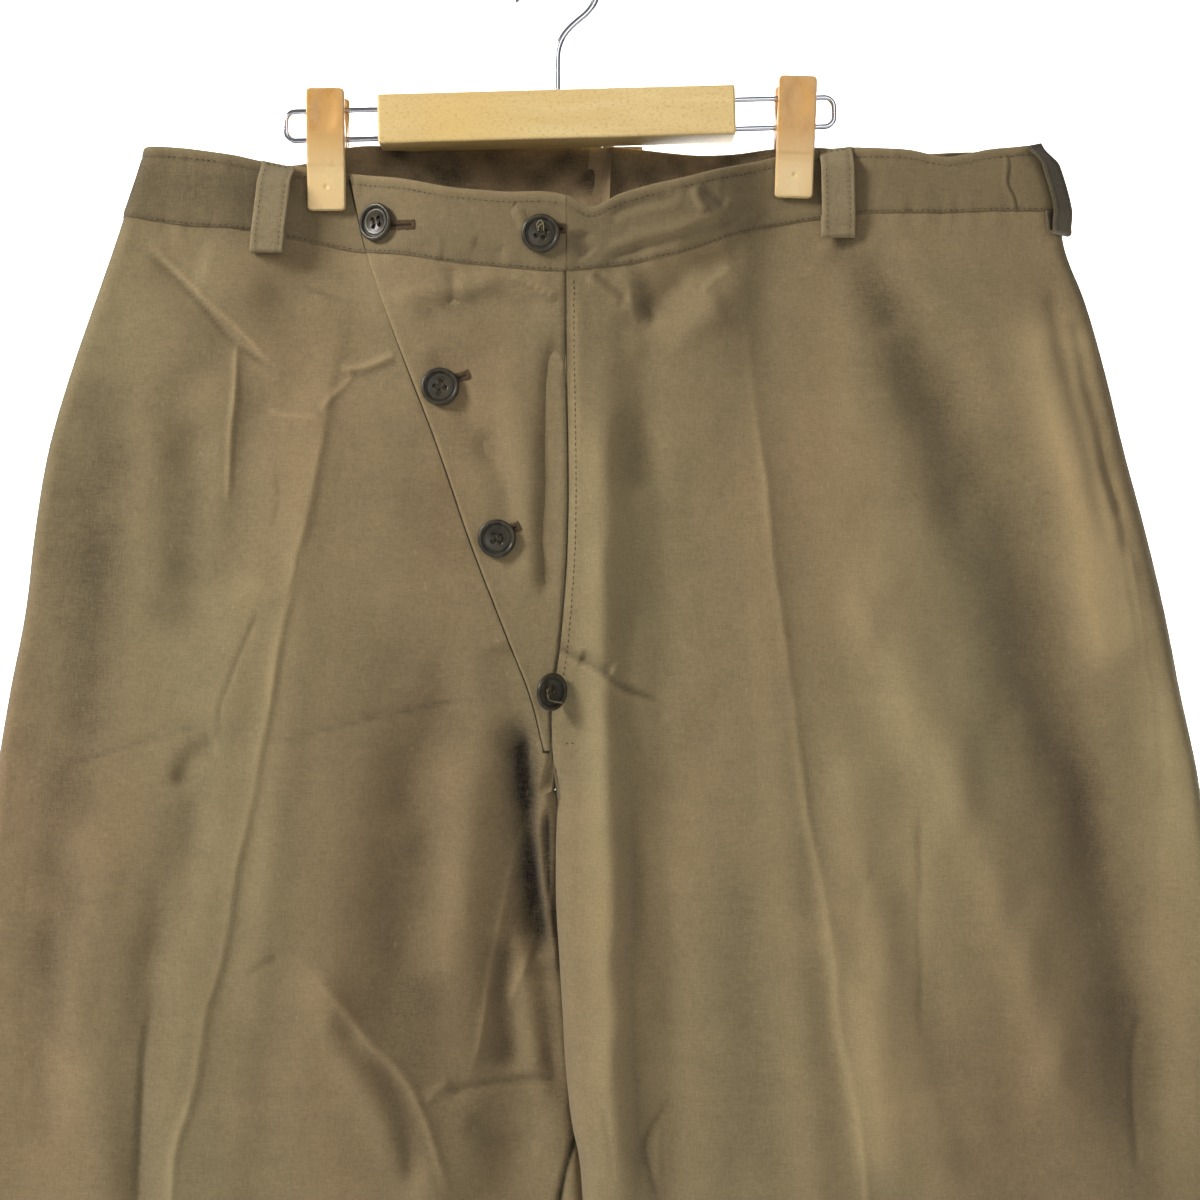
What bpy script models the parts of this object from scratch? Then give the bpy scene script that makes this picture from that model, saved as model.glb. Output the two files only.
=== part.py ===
"""Motorcycle trousers with a slanted buttoned front, hung by the waist from a two-clip hanger.

Sizes are in millimetres and become metres when a mesh is made. +Z is up, the front faces -Y, and
left and right are the viewer's. The origin is the seat inside the hanger's hook, where the rod lies.
Every cloth piece is a wall raised on one of two surfaces, the garment's front and back, which the
tables below describe by outline, depth and folds.
"""

from math import cos, pi, radians, sin

import bmesh
import bpy
import numpy as np
from mathutils import Matrix, Vector

MM = 0.001
GAP = 0.3

# Cloth: walls and how far each layer stands off the surface of the panels.
PANEL_WALL = 1.4
BAND_WALL = 2.2
BAND_PROUD = 0.9
FLAP_WALL = 1.2
FLAP_PROUD = 2.6
FLAP_BAND_WALL = 2.0
FLAP_BAND_PROUD = 3.5
LOOP_WALL = 1.6

# Heights of the trousers' main levels.
BAND_SEAM = -143.0
CROTCH_TURN = -405.0
CROTCH = -447.0
FLAP_END = -424.0
HEM = -1188.0

# How the flat-hanging tubes roll round at their seams, and how the waist is gripped.
ROLL = 9.0
GRIP_DEPTH = 1.65
GRIP_REACH = 30.0
GRIP_FADE = (-142.0, -300.0)
LIFT_REACH = 34.0
LEG_SET = {"left": 10.0, "right": -8.0}
LEG_PART = 80.0

# Hanger.
BAR_SIZE = (188.0, 22.0, 26.0)
BAR_TOP = -78.0
BAR_TILT = radians(1.54)
WIRE_RADIUS = 1.5
WIRE_DROPS = (5.6, 21.0)
WIRE_REACH = (-143.6, 146.8)
WIRE_CORNER = 5.0
HOOK_WIRE_RADIUS = 1.9
HOOK_INNER_RADIUS = 20.0
CLIP_WIDTH = 20.2
CLIP_BELOW_PIVOT = 38.5

BUTTON_RADIUS = 10.0
BUTTON_FOOT_RADIUS = 8.3
LOOP_WIDTH = 17.5

CLOTH = ("cloth", (0.235, 0.205, 0.115), 0.9, 0.0)
BUTTON = ("button", (0.045, 0.040, 0.030), 0.3, 0.0)
WOOD = ("wood", (0.72, 0.54, 0.26), 0.5, 0.0)
PLASTIC = ("clip_plastic", (0.70, 0.46, 0.18), 0.35, 0.0)
STEEL = ("steel", (0.62, 0.62, 0.62), 0.25, 1.0)


def table(names, *rows):
    """Columns by name, sorted by the first of them."""
    columns = np.array(sorted(rows), dtype=float).T
    return dict(zip(names.split(), columns))


OUTLINE = table(
    "z left right",
    (-104, -217, 253),
    (-119, -221, 260),
    (-134, -226, 265),
    (-161, -235, 269),
    (-187, -244, 279),
    (-225, -257, 290),
    (-267, -269, 300),
    (-309, -276, 311),
    (-352, -281, 321),
    (-394, -289, 329),
    (-437, -296, 338),
    (-560, -304, 346),
    (-700, -304, 345),
    (-900, -299, 334),
    (-1188, -292, 316),
)

# The centre seams down to the crotch.
CENTRE = table(
    "z front back",
    (-104, 5.5, 24),
    (-200, 5.3, 19),
    (-335, 5.0, 8),
    (-373, 1.6, 4),
    (-399, -2.0, 1),
    (-447, -1.0, -1),
)

# The inseams below it. The right leg hangs a little in front of the left one.
INSEAM = table(
    "z left right",
    (-447, -1.2, -0.8),
    (-470, -1.3, -0.7),
    (-505, 0.0, -0.3),
    (-534, 3.0, 1.4),
    (-558, 5.4, 2.8),
    (-601, 7.6, 4.8),
    (-636, 8.4, 6.0),
    (-668, 8.0, 6.4),
    (-720, 3.0, 11.0),
    (-800, -6.0, 20.0),
    (-1188, -15.0, 35.0),
)

# Upper edge of the waistband and the seam below it, front and back.
FRONT_WAIST = table(
    "x top seam",
    (-230, -108, -144),
    (-192, -110, -150),
    (-171, -113, -151),
    (-156, -116, -153),
    (-133, -118, -157),
    (-109, -122, -162),
    (-81, -127, -166),
    (-55, -133, -171),
    (-29, -136, -174),
    (7, -139, -176),
    (17, -144, -175),
    (33, -137, -173),
    (64, -128, -166),
    (96, -119, -154),
    (115, -113, -149),
    (139, -109, -145),
    (165, -109, -143),
    (185, -110, -143),
    (206, -114, -143),
    (228, -110, -142),
    (268, -107, -142),
)
BACK_WAIST = table(
    "x top seam",
    (-230, -108, -144),
    (-171, -112, -147),
    (-133, -115, -148),
    (-112, -110, -148),
    (-94, -108, -147),
    (-50, -106, -145),
    (24, -105, -144),
    (60, -108, -145),
    (96, -109, -146),
    (126, -107, -145),
    (165, -108, -144),
    (268, -107, -142),
)

# Depth of the front and the back from the middle plane, at five places from outseam to centre.
PLACES = np.array((0.08, 0.3, 0.5, 0.75, 1.0))
DEPTH = {
    "front": table(
        "z side wing crease inner centre",
        (-104, 9, 10, 14, 24, 27),
        (-150, 9, 10, 13, 22, 25),
        (-220, 10, 13, 15, 19, 21),
        (-320, 12, 17, 19, 20, 20),
        (-400, 13, 20, 23, 21, 18),
        (-447, 13, 21, 24, 20, 15),
        (-560, 12, 20, 24, 19, 13),
        (-800, 10, 17, 21, 16, 11),
        (-1188, 9, 14, 17, 13, 9),
    ),
    "back": table(
        "z side wing crease inner centre",
        (-104, 8, 9, 12, 15, 16),
        (-150, 8, 10, 12, 15, 16),
        (-220, 10, 14, 18, 20, 20),
        (-320, 12, 20, 25, 27, 26),
        (-400, 13, 22, 28, 27, 22),
        (-447, 13, 22, 28, 24, 17),
        (-560, 12, 20, 25, 20, 13),
        (-800, 10, 17, 21, 16, 11),
        (-1188, 9, 14, 17, 13, 9),
    ),
}

# Largest folds: ridges stand out and troughs go in. Each runs from start to end, bowed sideways.
FOLD_COLUMNS = "side x0 z0 x1 z1 bow height width"
FOLDS = (
    ("front", -110, -150, -214, -1188, -6, 2.4, 11),
    ("front", 99, -150, 190, -1188, -8, 2.4, 11),
    ("front", 148, -160, 312, -700, 38, -9.0, 24),
    ("front", 205, -170, 338, -600, 26, 6.0, 20),
    ("front", 24, -190, 32, -760, 0, 5.5, 15),
    ("front", 52, -230, 62, -800, 0, -4.5, 15),
    ("front", -78, -330, -70, -640, 0, -4.5, 22),
    ("front", -20, -390, -28, -700, 4, -7.0, 20),
    ("front", -134, -525, -50, -690, 0, 3.5, 11),
    ("front", -160, -480, -150, -1000, 0, -3.0, 30),
    ("front", 215, -520, 205, -1050, 0, -3.0, 26),
    ("front", -214, -164, -150, -235, 0, -2.5, 10),
    ("front", 52, -178, 112, -146, 0, -2.5, 9),
    ("back", -112, -150, -214, -1188, -6, 2.4, 11),
    ("back", 104, -150, 190, -1188, -8, 2.4, 11),
    ("back", -60, -360, -235, -500, 12, -5.0, 20),
    ("back", 55, -360, 255, -520, 14, -5.0, 20),
    ("back", -190, -190, -255, -420, -10, -4.5, 20),
    ("back", 215, -190, 300, -470, 12, -4.5, 22),
    ("back", 24, -150, 6, -380, 0, -3.0, 16),
    ("back", -90, -560, -110, -1100, 0, -3.5, 26),
    ("back", 130, -540, 120, -1080, 0, -3.5, 26),
)

# Slanted free edge of the flap.
FLAP_EDGE = table(
    "z x",
    (-122, -109),
    (-162, -99),
    (-216, -80),
    (-263, -62),
    (-318, -43),
    (-367, -24),
    (-398, -12),
    (-424, -5.5),
)

# Buttons lie on the flap; a tilted one stands on its thread, clear of the cloth.
BUTTON_COLUMNS = "name x z layer tilt"
BUTTONS = (
    ("button_waist_outer", -91.9, -148.4, "band", 0.0),
    ("button_waist_centre", -7.6, -157.0, "band", 0.0),
    ("button_flap_upper", -60.3, -235.7, "flap", 0.0),
    ("button_flap_middle", -30.5, -314.3, "flap", 0.0),
    ("button_flap_lower", -4.2, -392.6, "flap", 36.0),
)

# Belt loops: sewn on at the waistband's top, and below its seam, 115 mm apart round the waist.
LOOP_COLUMNS = "name side leg x slant"
LOOPS = (
    ("belt_loop_front_right", "front", "left", -146.5, -5.5),
    ("belt_loop_front_left", "front", "right", 147.0, 1.0),
    ("belt_loop_back_left", "back", "right", 154.0, 0.0),
    ("belt_loop_back_centre", "back", "right", 37.0, 0.0),
    ("belt_loop_back_right", "back", "left", -79.0, 0.0),
    ("belt_loop_back_far_right", "back", "left", -194.0, 0.0),
)
LOOP_LENGTH = 47.0
LOOP_STAND_OFF = 5.3

CLIP_COLUMNS = "name x top lean"
CLIPS = (
    ("clip_left", -121.3, -77.5, 0.0),
    ("clip_right", 126.0, -71.1, 1.7),
)


def named_rows(names, rows):
    """Each row as a mapping from the columns' names."""
    return [dict(zip(names.split(), row)) for row in rows]


def hermite(knots, values, at):
    """Smooth curve through values at the knots, level past both ends."""
    slopes = np.gradient(values, knots, axis=0)
    at = np.clip(at, knots[0], knots[-1])
    low = np.clip(np.searchsorted(knots, at, side="right") - 1, 0, len(knots) - 2)
    step = knots[low + 1] - knots[low]
    t = (at - knots[low]) / step

    def pick(source, index):
        if source.ndim == 1:
            return source[index]
        return np.take_along_axis(source, index[None], axis=0)[0]

    start = pick(values, low) * (1 + 2 * t) * (1 - t) ** 2
    end = pick(values, low + 1) * t * t * (3 - 2 * t)
    leave = pick(slopes, low) * step * t * (1 - t) ** 2
    arrive = pick(slopes, low + 1) * step * t * t * (t - 1)
    return start + end + leave + arrive


def read(columns, name, at):
    """A table's column as a smooth curve over its first column."""
    knots = next(iter(columns.values()))
    return hermite(knots, columns[name], np.asarray(at, dtype=float))


def ease(t):
    t = np.clip(t, 0.0, 1.0)
    return t * t * (3 - 2 * t)


def quarter(t):
    """Height of a quarter circle that rises from 0 to 1."""
    t = np.clip(t, 0.0, 1.0)
    return np.sqrt(1 - (1 - t) ** 2)


def inner_edge(side, leg, z):
    """Centre seam above the crotch, inseam below it."""
    centre = read(CENTRE, side, z)
    return np.where(z >= CROTCH, centre, read(INSEAM, leg, z))


def fold_height(side, x, z):
    """Sum of the folds' soft ridges and troughs, each faded at both ends."""
    total = np.zeros_like(x)
    for fold in named_rows(FOLD_COLUMNS, FOLDS):
        if fold["side"] != side:
            continue
        run = np.array((fold["x1"] - fold["x0"], fold["z1"] - fold["z0"]), dtype=float)
        length = np.hypot(*run)
        run /= length
        along = ((x - fold["x0"]) * run[0] + (z - fold["z0"]) * run[1]) / length
        across = (z - fold["z0"]) * run[0] - (x - fold["x0"]) * run[1]
        bend = fold["bow"] * 4 * np.clip(along, 0, 1) * (1 - np.clip(along, 0, 1))
        fade = ease(along / 0.18) * ease((1 - along) / 0.18)
        total += fold["height"] * fade * np.exp(-((across - bend) / fold["width"]) ** 2)
    return total


def clip_grip(x, z):
    """1 where a clip holds front and back together, fading round it and down."""
    near = np.zeros_like(x)
    for clip in named_rows(CLIP_COLUMNS, CLIPS):
        near = np.maximum(near, 1 / (1 + ((x - clip["x"]) / GRIP_REACH) ** 4))
    top, bottom = GRIP_FADE
    return near * ease((z - bottom) / (top - bottom))


def flap_lift(side, leg, x, z):
    """How far the left front rises to lie level with the flap that it is sewn to."""
    if (side, leg) != ("front", "right"):
        return np.zeros_like(x)
    beside = 1 - ease((x - read(CENTRE, "front", z)) / LIFT_REACH)
    return FLAP_PROUD * beside * ease((z - CROTCH) / (FLAP_END - CROTCH))


def surface_y(side, leg, x, z):
    """The panels' outer surface."""
    outer = read(OUTLINE, leg, z)
    inner = inner_edge(side, leg, z)
    width = np.abs(inner - outer)
    place = (x - outer) / (inner - outer)
    levels = DEPTH[side]
    stations = np.array([read(levels, name, z) for name in list(levels)[1:]])
    body = hermite(PLACES, stations, place) + fold_height(side, x, z)
    crotch_round = np.clip((z - CROTCH) / (CROTCH_TURN - CROTCH), 0, 1)
    rolled = quarter(place * width / ROLL) * quarter((1 - place) * width / ROLL + crotch_round)
    grip = clip_grip(x, z)
    depth = body * rolled * (1 - grip) + GRIP_DEPTH * grip * quarter(place * width / ROLL)
    depth = depth + flap_lift(side, leg, x, z) * (1 - grip)
    below = ease((CROTCH - z) / LEG_PART) * (1 - ease((-760 - z) / 300))
    middle = LEG_SET[leg] * below * ease((place - 0.55) / 0.45)
    sign = -1 if side == "front" else 1
    return middle + sign * (GAP / 2 + depth)


def surface_normal(side, leg, x, z):
    """Outward direction of the panels' outer surface."""
    step = 0.05
    across = surface_y(side, leg, x + step, z) - surface_y(side, leg, x - step, z)
    along = surface_y(side, leg, x, z + step) - surface_y(side, leg, x, z - step)
    sign = -1 if side == "front" else 1
    normal = np.stack((-across, np.full_like(x, 2 * step), -along), axis=-1) * sign
    return normal / np.linalg.norm(normal, axis=-1, keepdims=True)


def flatten(normals, axis):
    """Normals turned square to an axis."""
    normals[..., axis] = 0
    normals /= np.linalg.norm(normals, axis=-1, keepdims=True)


def seam_slope(column, z):
    step = 0.5
    return (column(z + step) - column(z - step)) / (2 * step)


def turn_to_outseam(leg, z, normals):
    """At an outseam the wall ends in the middle plane, so its normal lies in that plane."""
    outward = -1 if leg == "left" else 1
    slope = seam_slope(lambda at: read(OUTLINE, leg, at), z)
    normals[:, 0] = np.stack((np.full_like(z, outward), 0 * z, -outward * slope), axis=-1)
    flatten(normals[:, 0], 1)


def turn_to_centre(side, leg, z, normals):
    """Normals lie in the plane of the centre seam above the crotch, and face inward below it."""
    inward = 1 if leg == "left" else -1
    slope = seam_slope(lambda at: read(INSEAM, leg, at), z)
    below = np.stack((np.full_like(z, inward), 0 * z, -inward * slope), axis=-1)
    above = normals[:, -1].copy()
    flatten(above, 0)
    at_crotch = below / np.linalg.norm(below, axis=-1, keepdims=True) + np.array((0, 0, -1.0))
    height = z[:, None]
    turned = np.where(height > CROTCH + GAP, above, np.where(height < CROTCH - GAP, below, at_crotch))
    normals[:, -1] = turned / np.linalg.norm(turned, axis=-1, keepdims=True)


def settle(x_at, z_at, across, down):
    """Points of a patch whose columns and rows depend on each other."""
    u, v = np.meshgrid(across, down)
    z = np.full_like(u, BAND_SEAM)
    for _ in range(5):
        x = x_at(u, z)
        z = z_at(v, x)
    return x_at(u, z), z


def patch(side, leg, x, z):
    """Points and normals on a surface, with both ends of the patch cut level."""
    points = np.stack((x, surface_y(side, leg, x, z), z), axis=-1)
    normals = surface_normal(side, leg, x, z)
    flatten(normals[0], 2)
    flatten(normals[-1], 2)
    return points, normals


def panel_rows(pelvis, lower):
    """Nominal heights, closer round the crotch, where the panels turn under and the legs part."""
    turn = CROTCH_TURN - CROTCH
    angles = (0.4, 0.8, 1.2, pi / 2)
    above = np.linspace(BAND_SEAM, CROTCH_TURN, pelvis)
    under = [CROTCH_TURN - turn * sin(angle) for angle in angles]
    upper_leg = [CROTCH - drop for drop in (9, 22, 40, 65, 98)]
    lower_leg = np.linspace(upper_leg[-1], HEM, lower)[1:]
    return np.concatenate((above, under, upper_leg, lower_leg))


def rolled_stations(count):
    """Column marks: 0 to 1 is the outer roll, 1 to 2 the flat, 2 to 3 the inner roll."""
    roll = np.linspace(0, 1, 4)
    return np.concatenate((roll[:-1], np.linspace(1, 2, count), 2 + roll[1:]))


def rolled_x(marks, outer, inner):
    """X of column marks, the rolls' columns being even in angle."""
    toward = np.sign(inner - outer)
    width = np.abs(inner - outer)
    first = ROLL * (1 - np.cos(np.clip(marks, 0, 1) * pi / 2))
    middle = (width - 2 * ROLL) * np.clip(marks - 1, 0, 1)
    last = ROLL * np.sin(np.clip(marks - 2, 0, 1) * pi / 2)
    return outer + toward * (first + middle + last)


def seam_height(side, x):
    waist = FRONT_WAIST if side == "front" else BACK_WAIST
    return read(waist, "seam", x)


def follow_seam(side, nominal, x):
    """Rows follow the waist seam at the top and level out above the crotch."""
    sag = seam_height(side, x) - GAP / 2 - BAND_SEAM
    return nominal + sag * ease((nominal - CROTCH_TURN) / (BAND_SEAM - CROTCH_TURN))


def panel_patch(side, leg, marks, rows):
    away = -GAP / 2 if leg == "left" else GAP / 2

    def x_at(u, z):
        inner = inner_edge(side, leg, z) + np.where(z > CROTCH - GAP, away, 0)
        return rolled_x(u, read(OUTLINE, leg, z), inner)

    x, z = settle(x_at, lambda v, x: follow_seam(side, v, x), marks, rows)
    points, normals = patch(side, leg, x, z)
    turn_to_outseam(leg, z[:, 0], normals)
    turn_to_centre(side, leg, z[:, -1], normals)
    flatten(normals[0], 2)
    flatten(normals[-1], 2)
    return points, normals


def band_patch(side, leg, inner_at, count, rolled=True):
    """A stretch of the waistband, from the outseam or from the flap's edge to inner_at."""
    waist = FRONT_WAIST if side == "front" else BACK_WAIST
    beyond = ROLL if leg == "left" else -ROLL

    def x_at(u, z):
        if rolled:
            return rolled_x(u * 2, read(OUTLINE, leg, z), inner_at(z) + beyond)
        return read(FLAP_EDGE, "x", z) * (1 - u) + inner_at(z) * u

    def z_at(v, x):
        return read(waist, "top", x) * (1 - v) + (read(waist, "seam", x) + GAP / 2) * v

    stations = np.concatenate((np.linspace(0, 0.5, 4)[:-1], np.linspace(0.5, 1, count)))
    across = stations if rolled else np.linspace(0, 1, count)
    x, z = settle(x_at, z_at, across, np.linspace(0, 1, 3))
    points, normals = patch(side, leg, x, z)
    if rolled:
        turn_to_outseam(leg, z[:, 0], normals)
    flatten(normals[:, -1], 0)
    flatten(normals[0], 2)
    flatten(normals[-1], 2)
    return points, normals


def flap_patch(count, rows):
    def x_at(u, z):
        centre = read(CENTRE, "front", z) - GAP / 2
        return read(FLAP_EDGE, "x", z) * (1 - u) + centre * u

    x, z = settle(x_at, lambda v, x: follow_seam("front", v, x), np.linspace(0, 1, count), rows)
    points, normals = patch("front", "left", x, z)
    flatten(normals[:, -1], 0)
    return points, normals


def loop_profile(side, x, foot=3 * GAP):
    """Heights down a loop, how far it has risen there, and where its inner face stands."""
    waist = FRONT_WAIST if side == "front" else BACK_WAIST
    top = read(waist, "top", x) - 1.0
    drop = np.array((0, 0.08, 0.2, 0.36, 0.64, 0.8, 0.93, 1.0))
    rise = ease(drop / 0.22) * ease((1 - drop) / 0.22)
    rest = np.where(drop < 0.75, BAND_PROUD + GAP, foot)
    stand_off = rest + rise * (LOOP_STAND_OFF + BAND_PROUD - rest)
    return top - drop * LOOP_LENGTH, rise[:, None], stand_off[:, None]


def stretch(points, normals, rise, axis, outward):
    """Where a loop has risen off the cloth it is a flat strap, level with the cloth's highest point."""
    level = (points[..., axis] * outward).max(axis=1, keepdims=True) * outward
    points[..., axis] += (level - points[..., axis]) * rise
    square = np.zeros(3)
    square[axis] = outward
    normals += (square - normals) * rise[..., None]
    normals /= np.linalg.norm(normals, axis=-1, keepdims=True)


def loop_patch(side, leg, x, slant):
    rows, rise, stand_off = loop_profile(side, x)

    def x_at(u, z):
        return x + slant * (rows[0] - z) / LOOP_LENGTH + (u - 0.5) * LOOP_WIDTH

    columns = np.linspace(0, 1, 4)
    grid_x, grid_z = settle(x_at, lambda v, _: v, columns, rows)
    points, normals = patch(side, leg, grid_x, grid_z)
    stretch(points, normals, rise, 1, -1 if side == "front" else 1)
    return points, normals, stand_off


def side_loop_patch():
    """The loop on the left outseam lies round the roll at its ends, half on front and half on back."""
    x = read(OUTLINE, "right", -120.0)
    rows, rise, stand_off = loop_profile("back", x, 6 * GAP)
    angles = np.radians((-50, -30, 0, 30, 50))
    turn, z = np.meshgrid(angles, rows)
    outer = read(OUTLINE, "right", z)
    depth = np.where(turn < 0, read(DEPTH["front"], "side", z), read(DEPTH["back"], "side", z))
    wrapped = depth * np.sin(turn)
    spread = turn / angles[-1] * LOOP_WIDTH / 2
    y = wrapped + (spread - wrapped) * rise
    points = np.stack((outer - ROLL * (1 - np.cos(turn)), y, z), axis=-1)
    normals = np.stack((np.cos(turn), np.sin(turn), 0 * z), axis=-1)
    stretch(points, normals, rise, 0, 1)
    return points, normals, stand_off


def material(kind):
    name, colour, roughness, metallic = kind
    found = bpy.data.materials.get(name)
    if found:
        return found
    made = bpy.data.materials.new(name)
    made.use_nodes = True
    shader = made.node_tree.nodes["Principled BSDF"]
    shader.inputs["Base Color"].default_value = (*colour, 1.0)
    shader.inputs["Roughness"].default_value = roughness
    shader.inputs["Metallic"].default_value = metallic
    return made


def add_object(name, mesh, kind, smooth=True):
    mesh.materials.append(material(kind))
    if smooth:
        mesh.shade_smooth()
        mesh.set_sharp_from_angle(angle=radians(40))
    placed = bpy.data.objects.new(name, mesh)
    bpy.context.scene.collection.objects.link(placed)
    return placed


def closed_mesh(name, points, faces):
    """A mesh in metres with its faces turned outward."""
    mesh = bpy.data.meshes.new(name)
    mesh.from_pydata([tuple(MM * value for value in point) for point in points], [], faces)
    shape = bmesh.new()
    shape.from_mesh(mesh)
    bmesh.ops.recalc_face_normals(shape, faces=shape.faces)
    shape.to_mesh(mesh)
    shape.free()
    return mesh


def wall(name, points, normals, outside, inside):
    """A closed sheet between two heights above a patch."""
    rows, columns = points.shape[:2]
    both = np.concatenate((points + normals * outside, points + normals * inside))
    deck = rows * columns

    def corner(row, column, layer):
        return layer * deck + row * columns + column

    faces = []
    for layer in (0, 1):
        for row in range(rows - 1):
            for column in range(columns - 1):
                ring = [(row, column), (row, column + 1), (row + 1, column + 1), (row + 1, column)]
                faces.append([corner(*spot, layer) for spot in ring])
    rim = [(0, column) for column in range(columns)]
    rim += [(row, columns - 1) for row in range(1, rows)]
    rim += [(rows - 1, column) for column in range(columns - 2, -1, -1)]
    rim += [(row, 0) for row in range(rows - 2, 0, -1)]
    for here, after in zip(rim, rim[1:] + rim[:1]):
        faces.append([corner(*here, 0), corner(*after, 0), corner(*after, 1), corner(*here, 1)])
    return add_object(name, closed_mesh(name, both.reshape(-1, 3), faces), CLOTH)


def make_panels():
    front_rows = panel_rows(11, 12)
    back_rows = panel_rows(9, 10)
    for leg, wearer in (("left", "right"), ("right", "left")):
        points, normals = panel_patch("front", leg, rolled_stations(16), front_rows)
        wall(f"front_{wearer}", points, normals, 0.0, -PANEL_WALL)
        points, normals = panel_patch("back", leg, rolled_stations(11), back_rows)
        wall(f"back_{wearer}", points, normals, 0.0, -PANEL_WALL)


def make_flap():
    rows = [BAND_SEAM, -165, -190, -216, -240, -263, -290, -318, -343, -367, -385, -400, -412, FLAP_END]
    points, normals = flap_patch(8, np.array(rows, dtype=float))
    wall("fly_flap", points, normals, FLAP_PROUD, FLAP_PROUD - FLAP_WALL)


def make_waistband():
    bands = (
        ("waistband_front_right", "front", "left", -GAP / 2),
        ("waistband_front_left", "front", "right", GAP / 2),
        ("waistband_back_right", "back", "left", -GAP / 2),
        ("waistband_back_left", "back", "right", GAP / 2),
    )
    for name, side, leg, away in bands:
        points, normals = band_patch(side, leg, lambda z: read(CENTRE, side, z) + away, 28)
        wall(name, points, normals, BAND_PROUD, BAND_PROUD - BAND_WALL)
    centre = lambda z: read(CENTRE, "front", z) - GAP / 2
    points, normals = band_patch("front", "left", centre, 15, rolled=False)
    wall("waistband_flap", points, normals, FLAP_BAND_PROUD, FLAP_BAND_PROUD - FLAP_BAND_WALL)


def make_belt_loops():
    for row in named_rows(LOOP_COLUMNS, LOOPS):
        points, normals, stand_off = loop_patch(row["side"], row["leg"], row["x"], row["slant"])
        wall(row["name"], points, normals, (stand_off + LOOP_WALL)[..., None], stand_off[..., None])
    points, normals, stand_off = side_loop_patch()
    wall("belt_loop_side_left", points, normals, (stand_off + LOOP_WALL)[..., None], stand_off[..., None])


def turned(name, profile, kind, segments):
    """A solid of revolution about +Z, from (radius, height) pairs that run from pole to pole."""
    points = [(0, 0, profile[0][1])]
    for radius, height in profile[1:-1]:
        for step in range(segments):
            angle = 2 * pi * step / segments
            points.append((radius * cos(angle), radius * sin(angle), height))
    points.append((0, 0, profile[-1][1]))
    last = len(points) - 1
    rings = len(profile) - 2
    faces = []
    for step in range(segments):
        after = (step + 1) % segments
        faces.append((0, 1 + after, 1 + step))
        for ring in range(rings - 1):
            low = 1 + ring * segments
            high = low + segments
            faces.append((low + step, low + after, high + after, high + step))
        top = 1 + (rings - 1) * segments
        faces.append((top + step, top + after, last))
    return add_object(name, closed_mesh(name, points, faces), kind)


def make_buttons():
    profile = ((0, 0), (6.5, 0), (9.3, 0.9), (10.0, 2.2), (9.2, 3.4), (8.0, 3.5), (6.6, 2.2), (0, 1.9))
    scale = BUTTON_RADIUS / 10.0
    shape = [(radius * scale, height * scale) for radius, height in profile]
    proud = {"band": FLAP_BAND_PROUD, "flap": FLAP_PROUD}
    for row in named_rows(BUTTON_COLUMNS, BUTTONS):
        x, z = np.array([[row["x"]]]), np.array([[row["z"]]])
        point = np.array((x, surface_y("front", "left", x, z), z)).ravel()
        normal = Vector(surface_normal("front", "left", x, z).ravel())
        shank = BUTTON_FOOT_RADIUS * sin(radians(row["tilt"]))
        seat = Vector(point) + normal * (proud[row["layer"]] + 2 * GAP + shank)
        button = turned(row["name"], shape, BUTTON, 20)
        facing = normal.to_track_quat("Z", "Y").to_matrix().to_4x4()
        tip = Matrix.Rotation(radians(row["tilt"]), 4, "Y")
        button.matrix_world = Matrix.Translation(seat * MM) @ facing @ tip


def block(name, size, kind, bevel):
    shape = bmesh.new()
    bmesh.ops.create_cube(shape, size=1.0)
    for vert in shape.verts:
        vert.co = Vector(axis * length * MM for axis, length in zip(vert.co, size))
    bmesh.ops.bevel(shape, geom=shape.edges[:], offset=bevel * MM, segments=2, affect="EDGES", profile=0.5)
    mesh = bpy.data.meshes.new(name)
    shape.to_mesh(mesh)
    shape.free()
    return add_object(name, mesh, kind)


def rod(name, path, radius, kind, sides=8):
    """A round rod along a path that lies in a plane of constant Y."""
    path = [np.array(point, dtype=float) for point in path]
    points = []
    for index, spot in enumerate(path):
        before = path[max(index - 1, 0)]
        after = path[min(index + 1, len(path) - 1)]
        run = (after - before) / np.linalg.norm(after - before)
        square = np.array((-run[2], 0.0, run[0]))
        for side in range(sides):
            angle = 2 * pi * side / sides
            points.append(spot + radius * (cos(angle) * square + sin(angle) * np.array((0.0, 1.0, 0.0))))
    faces = [list(range(sides))]
    for index in range(len(path) - 1):
        for side in range(sides):
            after = (side + 1) % sides
            low, high = index * sides, (index + 1) * sides
            faces.append((low + side, low + after, high + after, high + side))
    faces.append(list(range(len(points) - sides, len(points))))
    return add_object(name, closed_mesh(name, points, faces), kind)


def arc(centre, radius, start, end, steps):
    """Points on an arc in the XZ plane, with angles in degrees from +X towards +Z."""
    angles = [radians(start + (end - start) * step / steps) for step in range(steps + 1)]
    return [(centre[0] + radius * cos(angle), 0.0, centre[1] + radius * sin(angle)) for angle in angles]


def tilted(point):
    """A point given on a level bar, turned with the bar's tilt about its middle."""
    x, y, z = point
    middle = BAR_TOP - BAR_SIZE[2] / 2
    lift = z - middle
    return (x * cos(BAR_TILT) - lift * sin(BAR_TILT), y, middle + x * sin(BAR_TILT) + lift * cos(BAR_TILT))


def make_bar():
    bar = block("hanger_bar", BAR_SIZE, WOOD, 1.2)
    middle = Vector((0, 0, BAR_TOP - BAR_SIZE[2] / 2)) * MM
    bar.matrix_world = Matrix.Translation(middle) @ Matrix.Rotation(-BAR_TILT, 4, "Y")


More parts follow.
